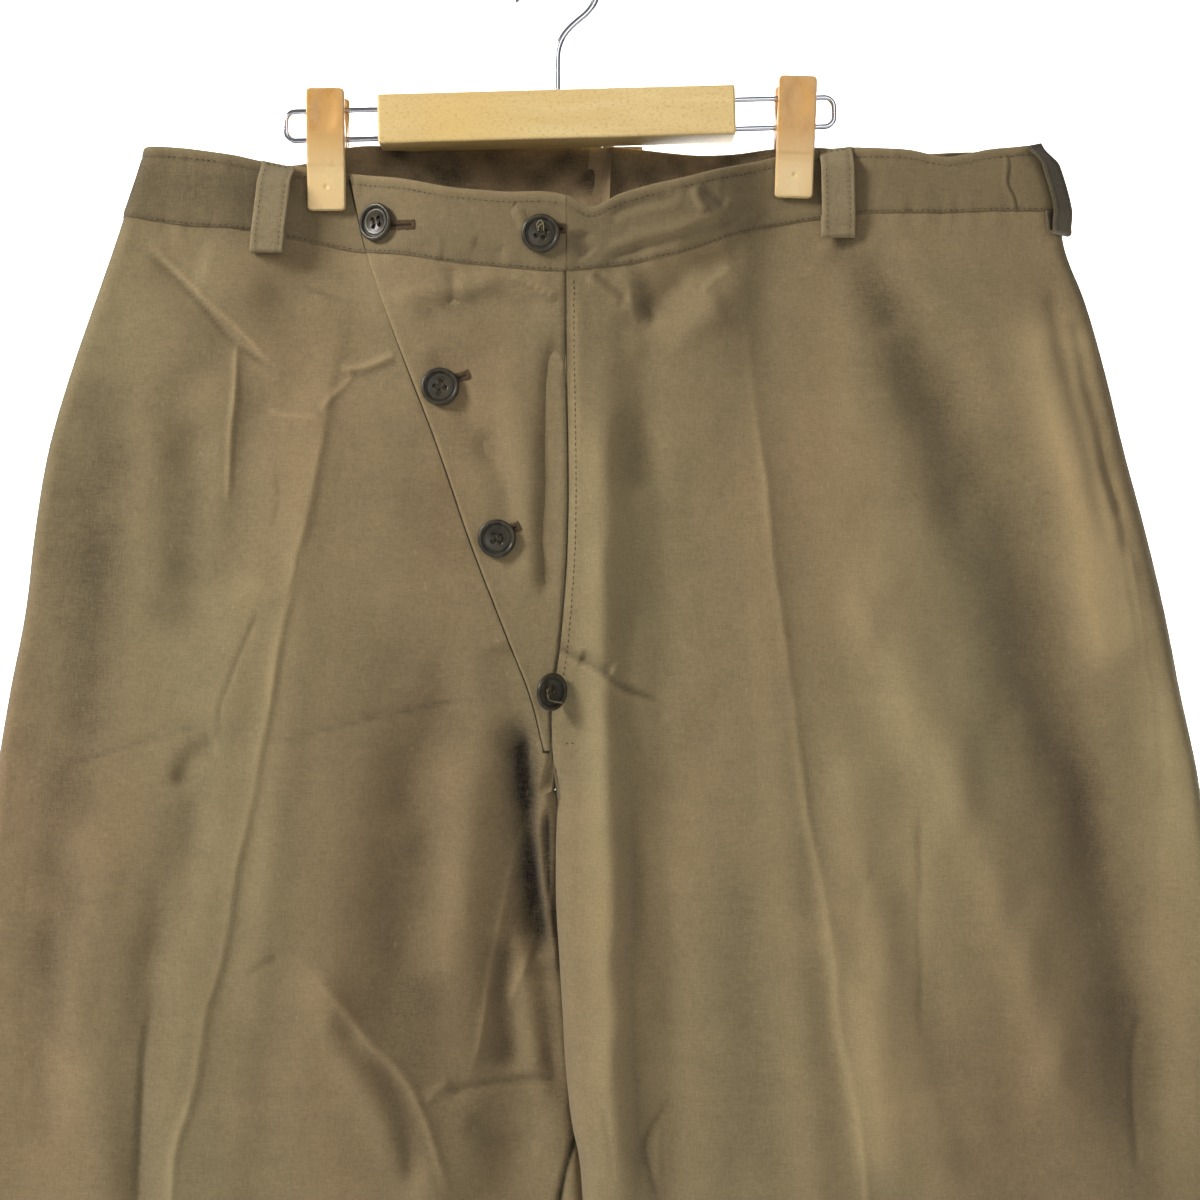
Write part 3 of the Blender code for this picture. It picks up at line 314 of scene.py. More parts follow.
# Creases, rubbed paler in places, and their painted shading. Each has a kind, a height, a width and a change
# of shade painted into the colour (darker as painted shade, paler as painted highlight and rubbing), and
# runs through places given as x across and distance down from the hook's seat, in tenths of a millimetre.
# Lines of height 0 have no
# relief: they are painted shade where the change is negative and painted highlight where it is positive.
CREASE_TEXT = """
[left] press crease, wearer's right leg
- sharp 0.9 3 0.13: -1072,1659 -1093,1857 -1140,2133 -1202,2491 -1259,2829 -1321,3131 -1379,3464
  -1431,3703 -1498,4098 -1576,4477 -1659,4899 -1748,5356 -1836,5710 -1914,6131 -1977,6287 -2008,6583
  -2112,7415 -2268,9183 -2413,11730
- edge -0.7 7 0: -1072,1659 -1093,1857 -1140,2133 -1202,2491 -1259,2829 -1321,3131 -1379,3464 -1431,3703
  -1498,4098 -1576,4477 -1659,4899 -1748,5356 -1836,5710 -1914,6131 -2008,6583
[left] hip lines
- sharp -0.8 1.5 -0.17: -2195,1592 -1815,1977 -1696,2117 -1457,2273
- sharp 0.8 1.6 0.15: -2153,1571 -1836,1893 -1618,2096 -1498,2247
- soft -1.8 16 0: -1332,1748 -1597,2034 -1857,2335 -2164,2611
- soft 1.6 14 0: -1904,1706 -1644,1774 -1332,1706
- sharp 0.9 1.7 0.17: -1680,2070 -1696,2491 -1722,2985
- soft -2.4 13 0: -1529,2216 -1592,2580 -1665,3048 -1737,3516
- soft -3.2 13 -0.03: -1873,2424 -1925,2840 -1925,3256 -1935,3723
- soft -1.4 14 -0.07: -2278,2112 -2330,2632 -2351,3152 -2393,3775 -2434,4399
- soft 1.6 15 0: -1529,3256 -1644,3723 -1717,4191
[left] small wrinkles beside the flap
- sharp 1.3 2.2 0.15: -1145,2242 -1010,2231 -916,2205 -817,2174
- sharp -1 2.4 -0.08: -1093,2273 -989,2268 -895,2242 -807,2221
- sharp 0.9 1.7 0.11: -1529,2455 -1410,2496 -1316,2502 -1212,2502
- sharp 0.9 1.7 0.12: -1238,2476 -1176,2403 -1051,2268
- sharp -0.5 1.6 -0.09: -1353,1779 -1238,1841 -1098,1883
- sharp -0.35 1.4 -0.05: -1467,2788 -1446,2944 -1477,3100
- sharp -0.35 1.4 -0.05: -1327,3152 -1347,3334 -1405,3516
[left] fine lines on the thigh
- sharp -0.5 1.4 -0.1: -1519,3505 -1680,3843 -1753,4061 -1737,4160
- sharp -0.5 1.4 -0.1: -2580,4337 -2096,4181 -1805,4093
- sharp -0.45 1.4 -0.09: -1509,4217 -900,4061 -365,3963
- soft -1.8 6 -0.05: -1758,4202 -1852,4243 -1909,4306 -1945,4451
[left] long trough on the outer side
- soft -3 12 0: -1873,4191 -1935,4659 -2018,5055 -2096,5413 -2138,5751 -2174,6053 -2195,6583 -2268,7623
- sharp -1.1 2.4 -0.1: -2096,5465 -2138,5751 -2169,6053 -2190,6583 -2226,7103
- soft 1.8 16 0: -2309,4503 -2413,5023 -2476,5543 -2528,6323
- soft -1.6 13 0: -2580,4607 -2621,5179 -2663,5803 -2705,6479
[left] diagonal crease low on the leg
- sharp 1.1 2.6 0.1: -1301,5325 -1140,5533 -984,5751 -802,5970 -682,6188 -614,6375 -552,6604
- soft -2.2 7 -0.02: -1176,5595 -1010,5814 -854,6042 -770,6271 -729,6583
- sharp -0.5 2.2 -0.06: -1618,5418 -1529,5366 -1415,5309
- soft -1.5 14 0: -1529,5543 -1581,5959 -1623,6375 -1665,6895
[left] soft hollow right of the press crease
- soft -2.6 20 -0.02: -448,3568 -646,4259 -802,4857 -900,5455 -916,5959
- soft 1.8 12 0: -417,4191 -469,4659 -490,5153 -542,5595
[left] wrinkles toward the crotch
- sharp -1.2 2.4 -0.08: -604,6058 -443,6016 -240,6006 30,6001
- sharp 1 2.2 0.06: -687,6084 -625,6027 -557,5970
- sharp 0.9 2 0.06: -126,4503 -214,4805 -282,5117 -360,5491 -417,5850 -474,6011
- soft -2.4 8.5 -0.06: -276,5179 -308,5465 -292,5725 -250,5985
- soft -0.6 5 -0.06: -250,5283 -292,5465 -323,5606
- sharp 0.8 2.4 0.08: -105,5049 -136,5283 -204,5465 -266,5621
- sharp -2 1.6 -0.45: 108,6245 72,6375 36,6531 -1,6713
- soft 1.8 6 0: -178,5179 -167,5491 -136,5803 -105,6011
- soft -2 6 -0.03: -58,5335 -42,5595 -22,5907 20,6167
- soft -1.6 8 0: -448,6167 -292,6323 -84,6375
- soft -3 8 -0.07: -204,4067 -178,4373 -152,4659 -136,4919 -115,5216 -89,5517
- soft -1.8 6 -0.17: -193,4098 -172,4389 -152,4633 -136,4826 -115,5049 -94,5398
- soft 0 9 -0.09: -198,4009 -198,4295 -193,4581
- soft 0 8 -0.07: -162,4659 -157,4971 -136,5283
- sharp -0.8 3.2 -0.08: -115,4191 -105,4347 -100,4503 -105,4711 -100,4919 -74,5127 -53,5335
- sharp 1.7 2.4 0.04: -68,4451 -89,4618 -79,4815 -53,5023 -27,5231 -6,5491
- soft -1.2 6.5 -0.19: -22,4503 -27,4763 -6,5023 15,5335 30,5595
- soft 0 9 -0.1: -42,5491 -22,5855 20,6167 72,6531
- sharp -1 1.6 -0.2: -37,4503 -48,4711 -42,4919 -22,5127 -1,5335
- soft -2.5 12 0: -292,3672 -230,3983 -188,4295
[right] wearer's left leg: press crease
- sharp 0.8 2.8 0.1: 970,1575 991,2016 1043,2493 1084,2831 1151,3464 1203,3863 1260,4257 1302,4574
  1359,4854 1421,5248 1478,5747 1541,6047 1598,6442 1681,7096 1940,11714
- edge 0.6 7 0: 1292,4501 1359,4854 1421,5248 1478,5747 1541,6047 1608,6525
[right] centre ridge and its dark side
- soft 2.4 9 0: 249,2218 238,2737 238,3256 243,3775 259,4397 269,5020 280,5798 290,6577
- soft -1.8 7.5 0: 373,3048 368,3464 358,3879 394,4418 415,4854 404,5451 425,6047 435,6629
- soft 0 20 0.09: 435,2322 446,2841 456,3464 467,4190 467,4916 477,5643 487,6577
- soft 0 20 0.2: 435,1741 695,1689 928,1616
- soft -1 15 -0.15: 1401,1554 1567,1668 1701,1886 1785,2063
- soft 0 36 0.13: 1266,2063 1525,2685 1707,3464 1836,4190 1888,4813 1785,5331 1733,5954 1836,6629
- soft 0 20 0.22: 2625,1855 2698,2426 2781,2893 2853,3360 2926,3879
- soft 0 22 0.13: 3134,3671 3175,4397 3196,5020 3217,5798 3217,6577
- soft 0 22 0.1: 1914,5954 1992,6317 2044,6629
- sharp -0.9 2.4 -0.05: 404,4397 404,4854 399,5451 415,6047 435,6629
- soft -2.2 12 0: 435,1907 446,2426 435,2945
[right] shadowed hollow under the band
- soft -3.6 11 -0.03: 384,1907 565,1865 747,1741 980,1575
- soft 1.4 9 0: 332,2140 643,2063 902,1886
- sharp -0.8 2.4 -0.05: 435,1886 498,1969 539,2021
- sharp 0.7 2 0.05: 747,1855 830,1782 923,1710
[right] band wrinkles
- sharp 1.3 2.2 0.08: 705,1326 747,1388 788,1450
- sharp -1.2 2.4 -0.05: 747,1315 830,1367 882,1419
- sharp 1 2.4 0.05: 238,1658 435,1575 695,1513 944,1419
- sharp -1 2.4 -0.04: 238,1710 467,1627 747,1554 980,1450
- sharp 0.8 2 0.04: 290,1502 487,1440 674,1414
- sharp -0.8 2.2 -0.04: 259,1461 435,1404 643,1367
- sharp 0.8 2 0.04: 830,1575 954,1481 1089,1367
- sharp -0.8 2 -0.04: 861,1616 996,1523 1100,1419
- sharp 0.6 1.8 0.04: 871,1388 980,1347 1089,1305
- sharp 0.5 1.6 0.05: 1177,1741 1266,1741 1359,1689
- sharp 0.7 2 0.06: 155,1782 243,1845 332,1917
- sharp -0.8 2.2 -0.05: 186,1762 280,1824 373,1897
- soft -1.3 5 -0.03: 124,1554 140,1627 176,1679
- sharp 0.5 1.6 0.05: 2355,1108 2371,1180 2360,1264 2386,1336 2407,1450
- sharp -0.5 1.5 -0.08: 2371,1108 2386,1180 2376,1264 2402,1336 2423,1450
- edge 0.9 3 0: 83,1751 93,2426 88,3048 51,3671
[right] centre front wrinkles
- sharp 1.4 2.4 0.13: 0,3697 119,3780 228,3842 347,3931 576,4024
- sharp -1.6 2.6 -0.2: -26,3676 119,3759 228,3822 347,3910 576,4008
- sharp 0.6 1.6 0.06: 550,4081 612,4065 674,4039
- soft -1.6 5 -0.05: 124,3744 228,3796 311,3837
[right] big diagonal hollow and the ridge inside it
- soft -3.4 20 -0.05: 1473,1720 1738,1933 1914,2338 2075,2929 2314,3464 2511,4060 2708,4455 2812,4854
  2890,5248 2968,5648 2999,6047 3019,6577
- soft 3 18 0: 1525,3048 1681,3567 1914,4060 2117,4553 2314,4953 2469,5451 2573,5845 2625,6473
- soft 1.4 14 0: 1681,1647 1940,1855 2174,2218 2355,2685
- soft 1.5 13 0.12: 2459,1803 2604,2322 2729,2893 2843,3464 2936,3982
- soft 1.6 12 0.08: 1484,3982 1535,4501 1598,5020 1670,5539 1727,6058 1774,6629
[left] more
- soft 0 24 -0.14: -2424,1228 -2164,1269 -1748,1321 -1332,1368
- soft 0 30 -0.15: -2413,2216 -2445,2684 -2486,3256 -2549,3879 -2580,4503 -2569,5127 -2549,5595 -2528,6011
- soft 0 34 -0.07: -1062,1644 -895,2216 -760,2788 -604,3412
- soft 0 18 -0.12: -708,5335 -687,5751 -708,6063 -739,6479
[flap] more
- soft 0 36 -0.07: -807,1550 -651,1860 -548,2119 -465,2325
[right] more
- soft 2.2 14 0: 2615,3048 2770,3515 2869,4060 3009,4657 3108,5248 3196,5845
- sharp -0.9 2.6 -0.04: 3097,5581 3040,5809 3035,6047 3056,6473
- soft -1.8 11 -0.02: 1712,4854 1805,5046 1888,5280 1982,5643 2096,6110 2220,6629
- sharp -0.5 2 -0.04: 1883,4501 1883,4916 1888,5331 1899,5747
- edge -0.5 4 0: 1598,4916 1681,4937 1810,4968
- soft 1.6 12 0: 1266,5020 1608,5539 1681,6058 1733,6577
- soft -1.6 16 0: 954,4813 1017,5331 1058,5954 1120,6577
- soft -1.4 14 0: 695,2530 726,3152 747,3879 768,4501
- sharp 0.45 1.4 0.06: 1618,2389 1701,2379 1795,2374
[right] creases low on the leg
- sharp -1 2.2 -0.1: 612,6016 524,6146 446,6281 487,6442 544,6608
- sharp 0.7 2 0.06: 524,6193 518,6317 529,6463
- sharp -0.4 1.4 -0.06: 243,6058 264,6265 290,6473
[right] streaks beside the outseam
- soft -1 5 -0.03: 2573,1710 2646,2063 2708,2426 2791,2789 2885,3256
- soft -0.9 3.5 -0.03: 2698,1907 2781,2322 2885,2789 3009,3329
- sharp -0.9 2.2 -0.06: 2812,2581 2874,2789 2947,3048
- soft -0.9 4 -0.02: 2978,3256 3061,3671 3123,4086 3196,4657
- sharp 0.5 1.8 0.04: 2957,3048 3030,3464 3092,3931 3154,4449
[flap] flap
- soft 1 4.5 0.04: -889,1896 -703,1850 -470,1829 -222,1767
- soft -1.2 6 -0.04: -755,1974 -496,1938 -238,1891 -57,2005
- sharp 1.1 2.2 0.1: -222,1756 -134,1819 11,1907
- sharp -0.9 2.4 -0.08: -207,1788 -114,1860 0,1943
- soft -1 4 0: -538,1715 -527,1834 -522,1953
- soft -2.4 6 -0.06: 0,2015 -26,2532 -41,3050 -57,3515
- soft 1.2 9 0: -289,2119 -186,2584 -160,3050 -134,3464
- soft -1 8 0: -651,2119 -445,2532 -289,2791
- soft -0.9 7 0: -393,2532 -238,2946 -134,3257
- sharp 0.6 2 0.06: -641,1715 -610,1632 -620,1560
- sharp 0.8 1.8 0.08: -207,1425 -170,1488 -155,1560
- soft -0.8 4 -0.03: -445,1601 -341,1653 -238,1663
[back_left] back, wearer's right leg
- sharp 0.9 3 0.1: -1072,1659 -1140,2133 -1259,2829 -1379,3464 -1498,4098 -1659,4899 -1836,5710 -2008,6583
  -2268,9183 -2413,11730
- soft -2.6 16 -0.02: -448,3983 -812,4191 -1228,4503 -1696,4763
- sharp -0.8 2.4 -0.06: -292,4503 -604,4566 -916,4701 -1280,4763
- soft -2.4 12 0: -188,4815 -448,5231 -656,5751 -812,6375
- soft 2 13 0: 20,2528 -292,3048 -604,3464 -916,3775
- soft -2.2 14 -0.02: -84,2944 -396,3412 -760,3775 -1176,3983
- soft -2.2 14 0: -1852,1904 -2018,2528 -2164,3152 -2289,3879
- sharp 0.7 2 0.06: -1685,1904 -1706,2320 -1737,2736
- sharp -0.6 2 -0.06: -1332,2320 -1124,2278 -864,2299
- soft -2 14 0: -1020,4919 -1124,5647 -1176,6583 -1280,7935
- soft 1.6 12 0: -708,5543 -812,6375 -916,7415
- soft -2.2 11 -0.02: -2112,5023 -2195,5855 -2268,6791 -2330,7935
- sharp -0.8 2.2 -0.06: -1540,6895 -1228,7103 -916,7467 -708,7935
- soft -1.6 12 0: -1592,8143 -1644,9183 -1696,10535
[back_right] back, wearer's left leg
- sharp 0.8 2.8 0.1: 1017,1627 1043,2493 1151,3464 1260,4257 1421,5248 1598,6442 1681,7096 1940,11714
- soft -2.6 16 -0.02: 435,3931 851,4190 1266,4501 1785,4688
- sharp -0.8 2.4 -0.06: 228,4449 539,4501 902,4657 1266,4740
- soft -2.4 12 0: 280,4813 487,5280 695,5798 799,6473
- soft 2 13 0: 228,2530 539,3048 851,3464 1266,3775
- soft -2.4 15 -0.02: 280,3048 643,3464 1058,3775 1577,3931
- soft -2.4 15 0: 2096,1907 2355,2581 2563,3256 2750,3982
- sharp 0.7 2 0.06: 1733,1803 1785,2218 1805,2685
- sharp -0.6 2 -0.06: 1369,2166 1577,2135 1836,2177
- soft -2.2 14 0: 1577,4916 1681,5643 1785,6577 1836,7926
- soft 1.8 12 0: 1162,5539 1266,6369 1369,7407
- soft -2.4 12 -0.02: 2822,4813 2905,5643 2926,6784 2916,7926
- sharp -0.8 2.2 -0.06: 2200,6784 1940,7044 1681,7459 1525,7926
- soft -1.6 12 0: 2303,8133 2355,9171 2355,10520
"""
CREASE_REACH = {"soft": 2.8, "sharp": 6, "edge": 6}


def crease_rows():
    """Each crease as (layer, kind, height, width, shade, places in millimetres)."""
    rows = []
    for section in CREASE_TEXT.split("[")[1:]:
        layer = section.split("]")[0]
        for record in section.split("\n- ")[1:]:
            form, course = record.split(":")
            kind, *sizes = form.split()
            places = [[float(value) / 10 for value in place.split(",")] for place in course.split()]
            rows.append((layer, kind, *map(float, sizes), [(x, -down) for x, down in places]))
    return rows


CREASES = crease_rows()

# How uneven the cloth is: soft billows, small rumples and the gathers beside stitching.
BILLOW = 0.8
RUMPLE = 0.14
OUTSEAM_PUCKER = 0.30
WAIST_PUCKER = 0.22
BAND_PUCKER = 0.20
LINING_WRINKLE = 1.1
EDGE_WAVE = 0.5
# Limits of the painted shade and highlight, with some rubbing, in the cloth's colour.
PAINTED_SHADING_LIMITS = (-0.86, 0.5)

# Billows and rumples as share, cell sizes across and down, and seed.
BILLOWS = (
    (BILLOW, 64, 150, 11),
    (0.6 * BILLOW, 27, 90, 12),
    (RUMPLE, 11, 15, 13),
    (0.45 * RUMPLE, 4.5, 6, 14),
)

# What creases and folds do to height, and to the shade and highlight painted into the colour.
CREASE_UNEVEN = 0.35
CREASE_GAIN = 1.5
PAINTED_SHADING_GAIN = 1.9
RELIEF_SHADE = 0.030
FOLD_SHADE = 0.020
PANEL_TUCK = 4.0

STITCH_PITCH = 3.0
STITCH_LENGTH = 2.1
STITCH_RADIUS = 0.30

# Stitching along the waistband: layer, the band's height above it, and both ends.
BAND_SUNK = 0.33
BAND_STITCHING = (
    ("left", BAND_PROUD, -214, -106),
    ("right", BAND_PROUD, 10, 256),
    ("flap", FLAP_BAND_PROUD, -104, 2),
    ("back_left", BAND_PROUD, -214, 20),
    ("back_right", BAND_PROUD, 30, 256),
)

KEY_POWER = 48.0
FILL_POWER = 15.0
WALL_POWER = 360.0
WORLD_STRENGTH = 0.16
STAGE_PROFILE = [(-2600, 0), (0, 0), (1500, 0), (2300, 90)]
STAGE_PROFILE += [(2900, 380), (3250, 900), (3400, 1700), (3400, 3900)]

# Colour sockets of a mixing node.
MIX_FIRST = 6
MIX_SECOND = 7
MIX_RESULT = 2

# A button's section as (radius, height), from the middle of its foot to the middle of its dish.
BUTTON_PROFILE = [(0, 0), (6.2, 0), (8.4, 0.35), (9.5, 1.1), (9.95, 2.0), (9.85, 2.75), (9.45, 3.2)]
BUTTON_PROFILE += [(8.9, 3.45), (8.3, 3.4), (7.85, 3.1), (7.6, 2.6), (7.45, 2.05), (7.1, 1.95), (6.7, 2.25)]
BUTTON_PROFILE += [(6.2, 2.3), (5.4, 2.1), (4.2, 1.75), (2.6, 1.5), (0, 1.4)]

# The curled end of the flap: its line down, and its width there.
TAIL_SPINE = [(-1.8, -13.0, -414), (-3.2, -14.5, -424), (-7.2, -15.0, -437), (-10.0, -13.8, -448.5)]
TAIL_ACROSS = [(7.6, -0.4, 1.2), (6.6, 0.8, 0.6), (5.8, 2.0, 0.2), (7.2, 2.6, 2.0)]

# Loose loops of thread over a button.
LOOSE_THREADS = {
    "": [],
    "looped": [
        [(-1.5, 1.5, 1.8), (-1.9, 4.2, 3.6), (0.2, 6.4, 4.6), (1.6, 4.0, 3.9), (1.4, 1.4, 1.8)],
        [(-1.2, 1.2, 1.9), (-0.6, 3.8, 3.4), (1.0, 4.6, 3.6), (1.6, 1.6, 1.9)],
    ],
    "trailing": [
        [
            (-1.6, 2.4, 2.4),
            (-3.8, 0, 3),
            (-3.4, -3.6, 3.6),
            (0.4, -4.9, 4.6),
            (6, -5.6, 3.2),
            (9.4, -5.4, 0.4),
        ],
        [(-0.5, -4.9, 4.5), (3.8, -5.9, 4.5), (7.4, -6.4, 2.0), (9.2, -6.2, 0.2)],
    ],
}

# Buttonholes on the flap: the slit's two ends, the first under its button.
BUTTONHOLES = (
    ("button_waist_outer", (-86.0, -150.6), (-72.6, -150.9)),
    ("button_waist_centre", (-2.0, -154.6), (5.2, -154.4)),
    ("button_flap_upper", (-54.0, -231.5), (-44.8, -228.6)),
    ("button_flap_middle", (-25.0, -310.0), (-18.2, -307.4)),
)


def hermite(knots, values, at):
    """Smooth curve through values at the knots, level past both ends."""
    slopes = np.gradient(values, knots, axis=0)
    at = np.clip(at, knots[0], knots[-1])
    low = np.clip(np.searchsorted(knots, at, side="right") - 1, 0, len(knots) - 2)
    step = knots[low + 1] - knots[low]
    t = (at - knots[low]) / step

    def pick(source, index):
        if source.ndim == 1:
            return source[index]
        return np.take_along_axis(source, index[None], axis=0)[0]

    start = pick(values, low) * (1 + 2 * t) * (1 - t) ** 2
    end = pick(values, low + 1) * t * t * (3 - 2 * t)
    leave = pick(slopes, low) * step * t * (1 - t) ** 2
    arrive = pick(slopes, low + 1) * step * t * t * (t - 1)
    return start + end + leave + arrive


def read(columns, name, at):
    """A table's column as a smooth curve over its first column."""
    knots = next(iter(columns.values()))
    return hermite(knots, columns[name], np.asarray(at, dtype=float))


def ease(t):
    t = np.clip(t, 0.0, 1.0)
    return t * t * (3 - 2 * t)


def quarter(t):
    """Height of a quarter circle that rises from 0 to 1."""
    t = np.clip(t, 0.0, 1.0)
    return np.sqrt(1 - (1 - t) ** 2)


def bell(distance, width):
    """1 at no distance, falling away smoothly over a width."""
    return np.exp(-((distance / width) ** 2))


def unit(vectors):
    """Vectors brought to length 1."""
    if vectors.ndim == 1:
        return vectors / np.linalg.norm(vectors)
    return vectors / np.linalg.norm(vectors, axis=-1, keepdims=True)


def faded(along, share):
    """1 along a course from 0 to 1, easing to 0 over a share of it at both ends."""
    return ease(along / share) * ease((1 - along) / share)


def inner_edge(side, leg, z):
    """Centre seam above the crotch, inseam below it."""
    centre = read(CENTRE, side, z)
    return np.where(z >= CROTCH, centre, read(INSEAM, leg, z))


def fold_height(side, x, z):
    """Sum of the folds' soft ridges and troughs, each faded at both ends."""
    total = np.zeros_like(x)
    for owner, x0, z0, x1, z1, bow, height, width in FOLDS:
        if owner != side:
            continue
        run = np.array((x1 - x0, z1 - z0), dtype=float)
        length = np.hypot(*run)
        run /= length
        along = ((x - x0) * run[0] + (z - z0) * run[1]) / length
        across = (z - z0) * run[0] - (x - x0) * run[1]
        bend = bow * 4 * np.clip(along, 0, 1) * (1 - np.clip(along, 0, 1))
        total += height * faded(along, 0.18) * bell(across - bend, width)
    return total


def clip_grip(x, z):
    """1 where a clip holds front and back together, fading round it and down."""
    near = np.zeros_like(x)
    for _, clip_x, _, _ in CLIPS:
        near = np.maximum(near, 1 / (1 + ((x - clip_x) / GRIP_REACH) ** 4))
    top, bottom = GRIP_FADE
    return near * ease((z - bottom) / (top - bottom))


def flap_lift(side, leg, x, z):
    """How far the left front rises to lie level with the flap that it is sewn to."""
    if (side, leg) != ("front", "right"):
        return np.zeros_like(x)
    beside = 1 - ease((x - read(CENTRE, "front", z)) / LIFT_REACH)
    return FLAP_PROUD * beside * ease((z - CROTCH) / (FLAP_END - CROTCH))


LAYERS = {
    "left": ("front", "left"),
    "right": ("front", "right"),
    "flap": ("front", "left"),
    "back_left": ("back", "left"),
    "back_right": ("back", "right"),
}


def noise(x, z, cell_x, cell_z, seed):
    """Smooth random values from -1 to 1 over cells of the given size."""
    grid = np.random.default_rng(seed).uniform(-1, 1, (97, 97))
    u, v = x / cell_x + 31.7, z / cell_z + 57.3
    i, j = np.floor(u).astype(int), np.floor(v).astype(int)
    s, t = ease(u - i), ease(v - j)
    i, j, i1, j1 = i % 97, j % 97, (i + 1) % 97, (j + 1) % 97
    low = grid[i, j] * (1 - s) + grid[i1, j] * s
    high = grid[i, j1] * (1 - s) + grid[i1, j1] * s
    return low * (1 - t) + high * t


def ripple(along, cell, seed):
    """Smooth random values from -1 to 1 along one direction."""
    return noise(along, 0 * along, cell, 9, seed)


def rounded_path(points):
    """A crease's corners eased into a curve."""
    points = np.array(points, dtype=float)
    if len(points) < 3:
        return points
    marks = np.concatenate(([0], np.cumsum(np.hypot(*np.diff(points, axis=0).T))))
    at = np.linspace(0, marks[-1], 4 * len(points) - 3)
    return np.stack([hermite(marks, points[:, axis], at) for axis in (0, 1)], axis=1)


def nearest(path, x, z):
    """Distance to a path, the side of it, and how far along it the nearest spot lies."""
    lengths = np.hypot(*np.diff(path, axis=0).T)
    starts = np.concatenate(([0], np.cumsum(lengths)))
    best = np.full_like(x, 1e9)
    side = np.zeros_like(x)
    along = np.zeros_like(x)
    for (ax, az), (bx, bz), length, start in zip(path[:-1], path[1:], lengths, starts):
        ux, uz = (bx - ax) / length, (bz - az) / length
        t = np.clip((x - ax) * ux + (z - az) * uz, 0, length)
        dx, dz = x - ax - t * ux, z - az - t * uz
        far = np.hypot(dx, dz)
        nearer = far < best
        best = np.where(nearer, far, best)
        side = np.where(nearer, np.sign(ux * dz - uz * dx), side)
        along = np.where(nearer, start + t, along)
    return best, side, along / starts[-1]


def crease_relief(layer, x, z):
    """Relief of a layer's creases, and the change of colour painted along them: darker as painted shade,
    paler as painted highlight and rubbing.
    """
    relief, tint = np.zeros_like(x), np.zeros_like(x)
    wave_x = x + 0.9 * noise(x, z, 23, 23, 5) + 0.25 * noise(x, z, 7, 7, 6)
    wave_z = z + 0.9 * noise(x, z, 23, 23, 7)
    for index, (owner, kind, height, width, wear_and_painted_shading, points) in enumerate(CREASES):
        if owner != layer:
            continue
        path = rounded_path(points)
        reach = width * CREASE_REACH[kind]
        near = (x > path[:, 0].min() - reach) & (x < path[:, 0].max() + reach)
        near &= (z > path[:, 1].min() - reach) & (z < path[:, 1].max() + reach)
        if not near.any():
            continue
        far, side, along = nearest(path, wave_x[near], wave_z[near])
        uneven = 1 + CREASE_UNEVEN * noise(x[near], z[near], 17, 29, 100 + index)
        fade = faded(along, 0.16) * uneven
        if kind == "soft":
            shape = bell(far, width)
        elif kind == "sharp":
            shape = 1 / np.cosh(1.6 * far / width)
        else:
            shape = np.tanh(2 * side * far / width) * bell(far, 2.4 * width)
        relief[near] += CREASE_GAIN * height * fade * shape
        tint[near] += PAINTED_SHADING_GAIN * wear_and_painted_shading * fade * np.abs(shape) ** 1.5
    return relief, tint


def painted_shading_and_wear(layer, x, z):
    """Paler ridges and darker troughs as painted highlight and shade, with some rubbing, and painted shade
    on rolled edges.
    """
    side, leg = LAYERS[layer]
    relief, tint = crease_relief(layer, x, z)
    # Painted shade in troughs and painted highlight on ridges, from the relief of the creases and folds.
    hollows = RELIEF_SHADE * relief + FOLD_SHADE * fold_height(side, x, z)
    from_outseam = np.abs(x - read(OUTLINE, leg, z))
    # Painted shade where the cloth rolls away at the outseam.
    rolled = -0.16 * bell(from_outseam, 2.6) - 0.08 * bell(from_outseam, 11)
    rim = 0.0
    # Painted highlight along the right front where its roll meets the flat cloth.
    if layer == "right":
        rim = 0.16 * bell(from_outseam - 3.4, 0.9) * ease((-170 - z) / 40) * ease((z + 560) / 90)
    return np.clip(tint + hollows + rolled + rim, *PAINTED_SHADING_LIMITS)


def unevenness(layer, x, z):
    """Soft billows of hanging cloth, drawn out downward."""
    seed = 10 * list(LAYERS).index("left" if layer == "flap" else layer)
    total = 0.0
    for share, cell_x, cell_z, more in BILLOWS:
        total = total + share * noise(x, z, cell_x, cell_z, seed + more)
    return total


def seam_puckers(layer, x, z):
    """Short gathers where stitching draws the cloth in at an outseam and under the waistband."""
    side, leg = LAYERS[layer]
    from_outseam = np.abs(x - read(OUTLINE, leg, z))
    beside = bell(from_outseam - 8, 9) * np.sin(z / 2.9 + 2.2 * noise(x, z, 40, 19, 77))
    below = seam_height(side, x) - z
    under = bell(below, 9) * np.sin(x / 2.3 + 2.4 * noise(x, z, 14, 60, 78))
    return OUTSEAM_PUCKER * beside + WAIST_PUCKER * under


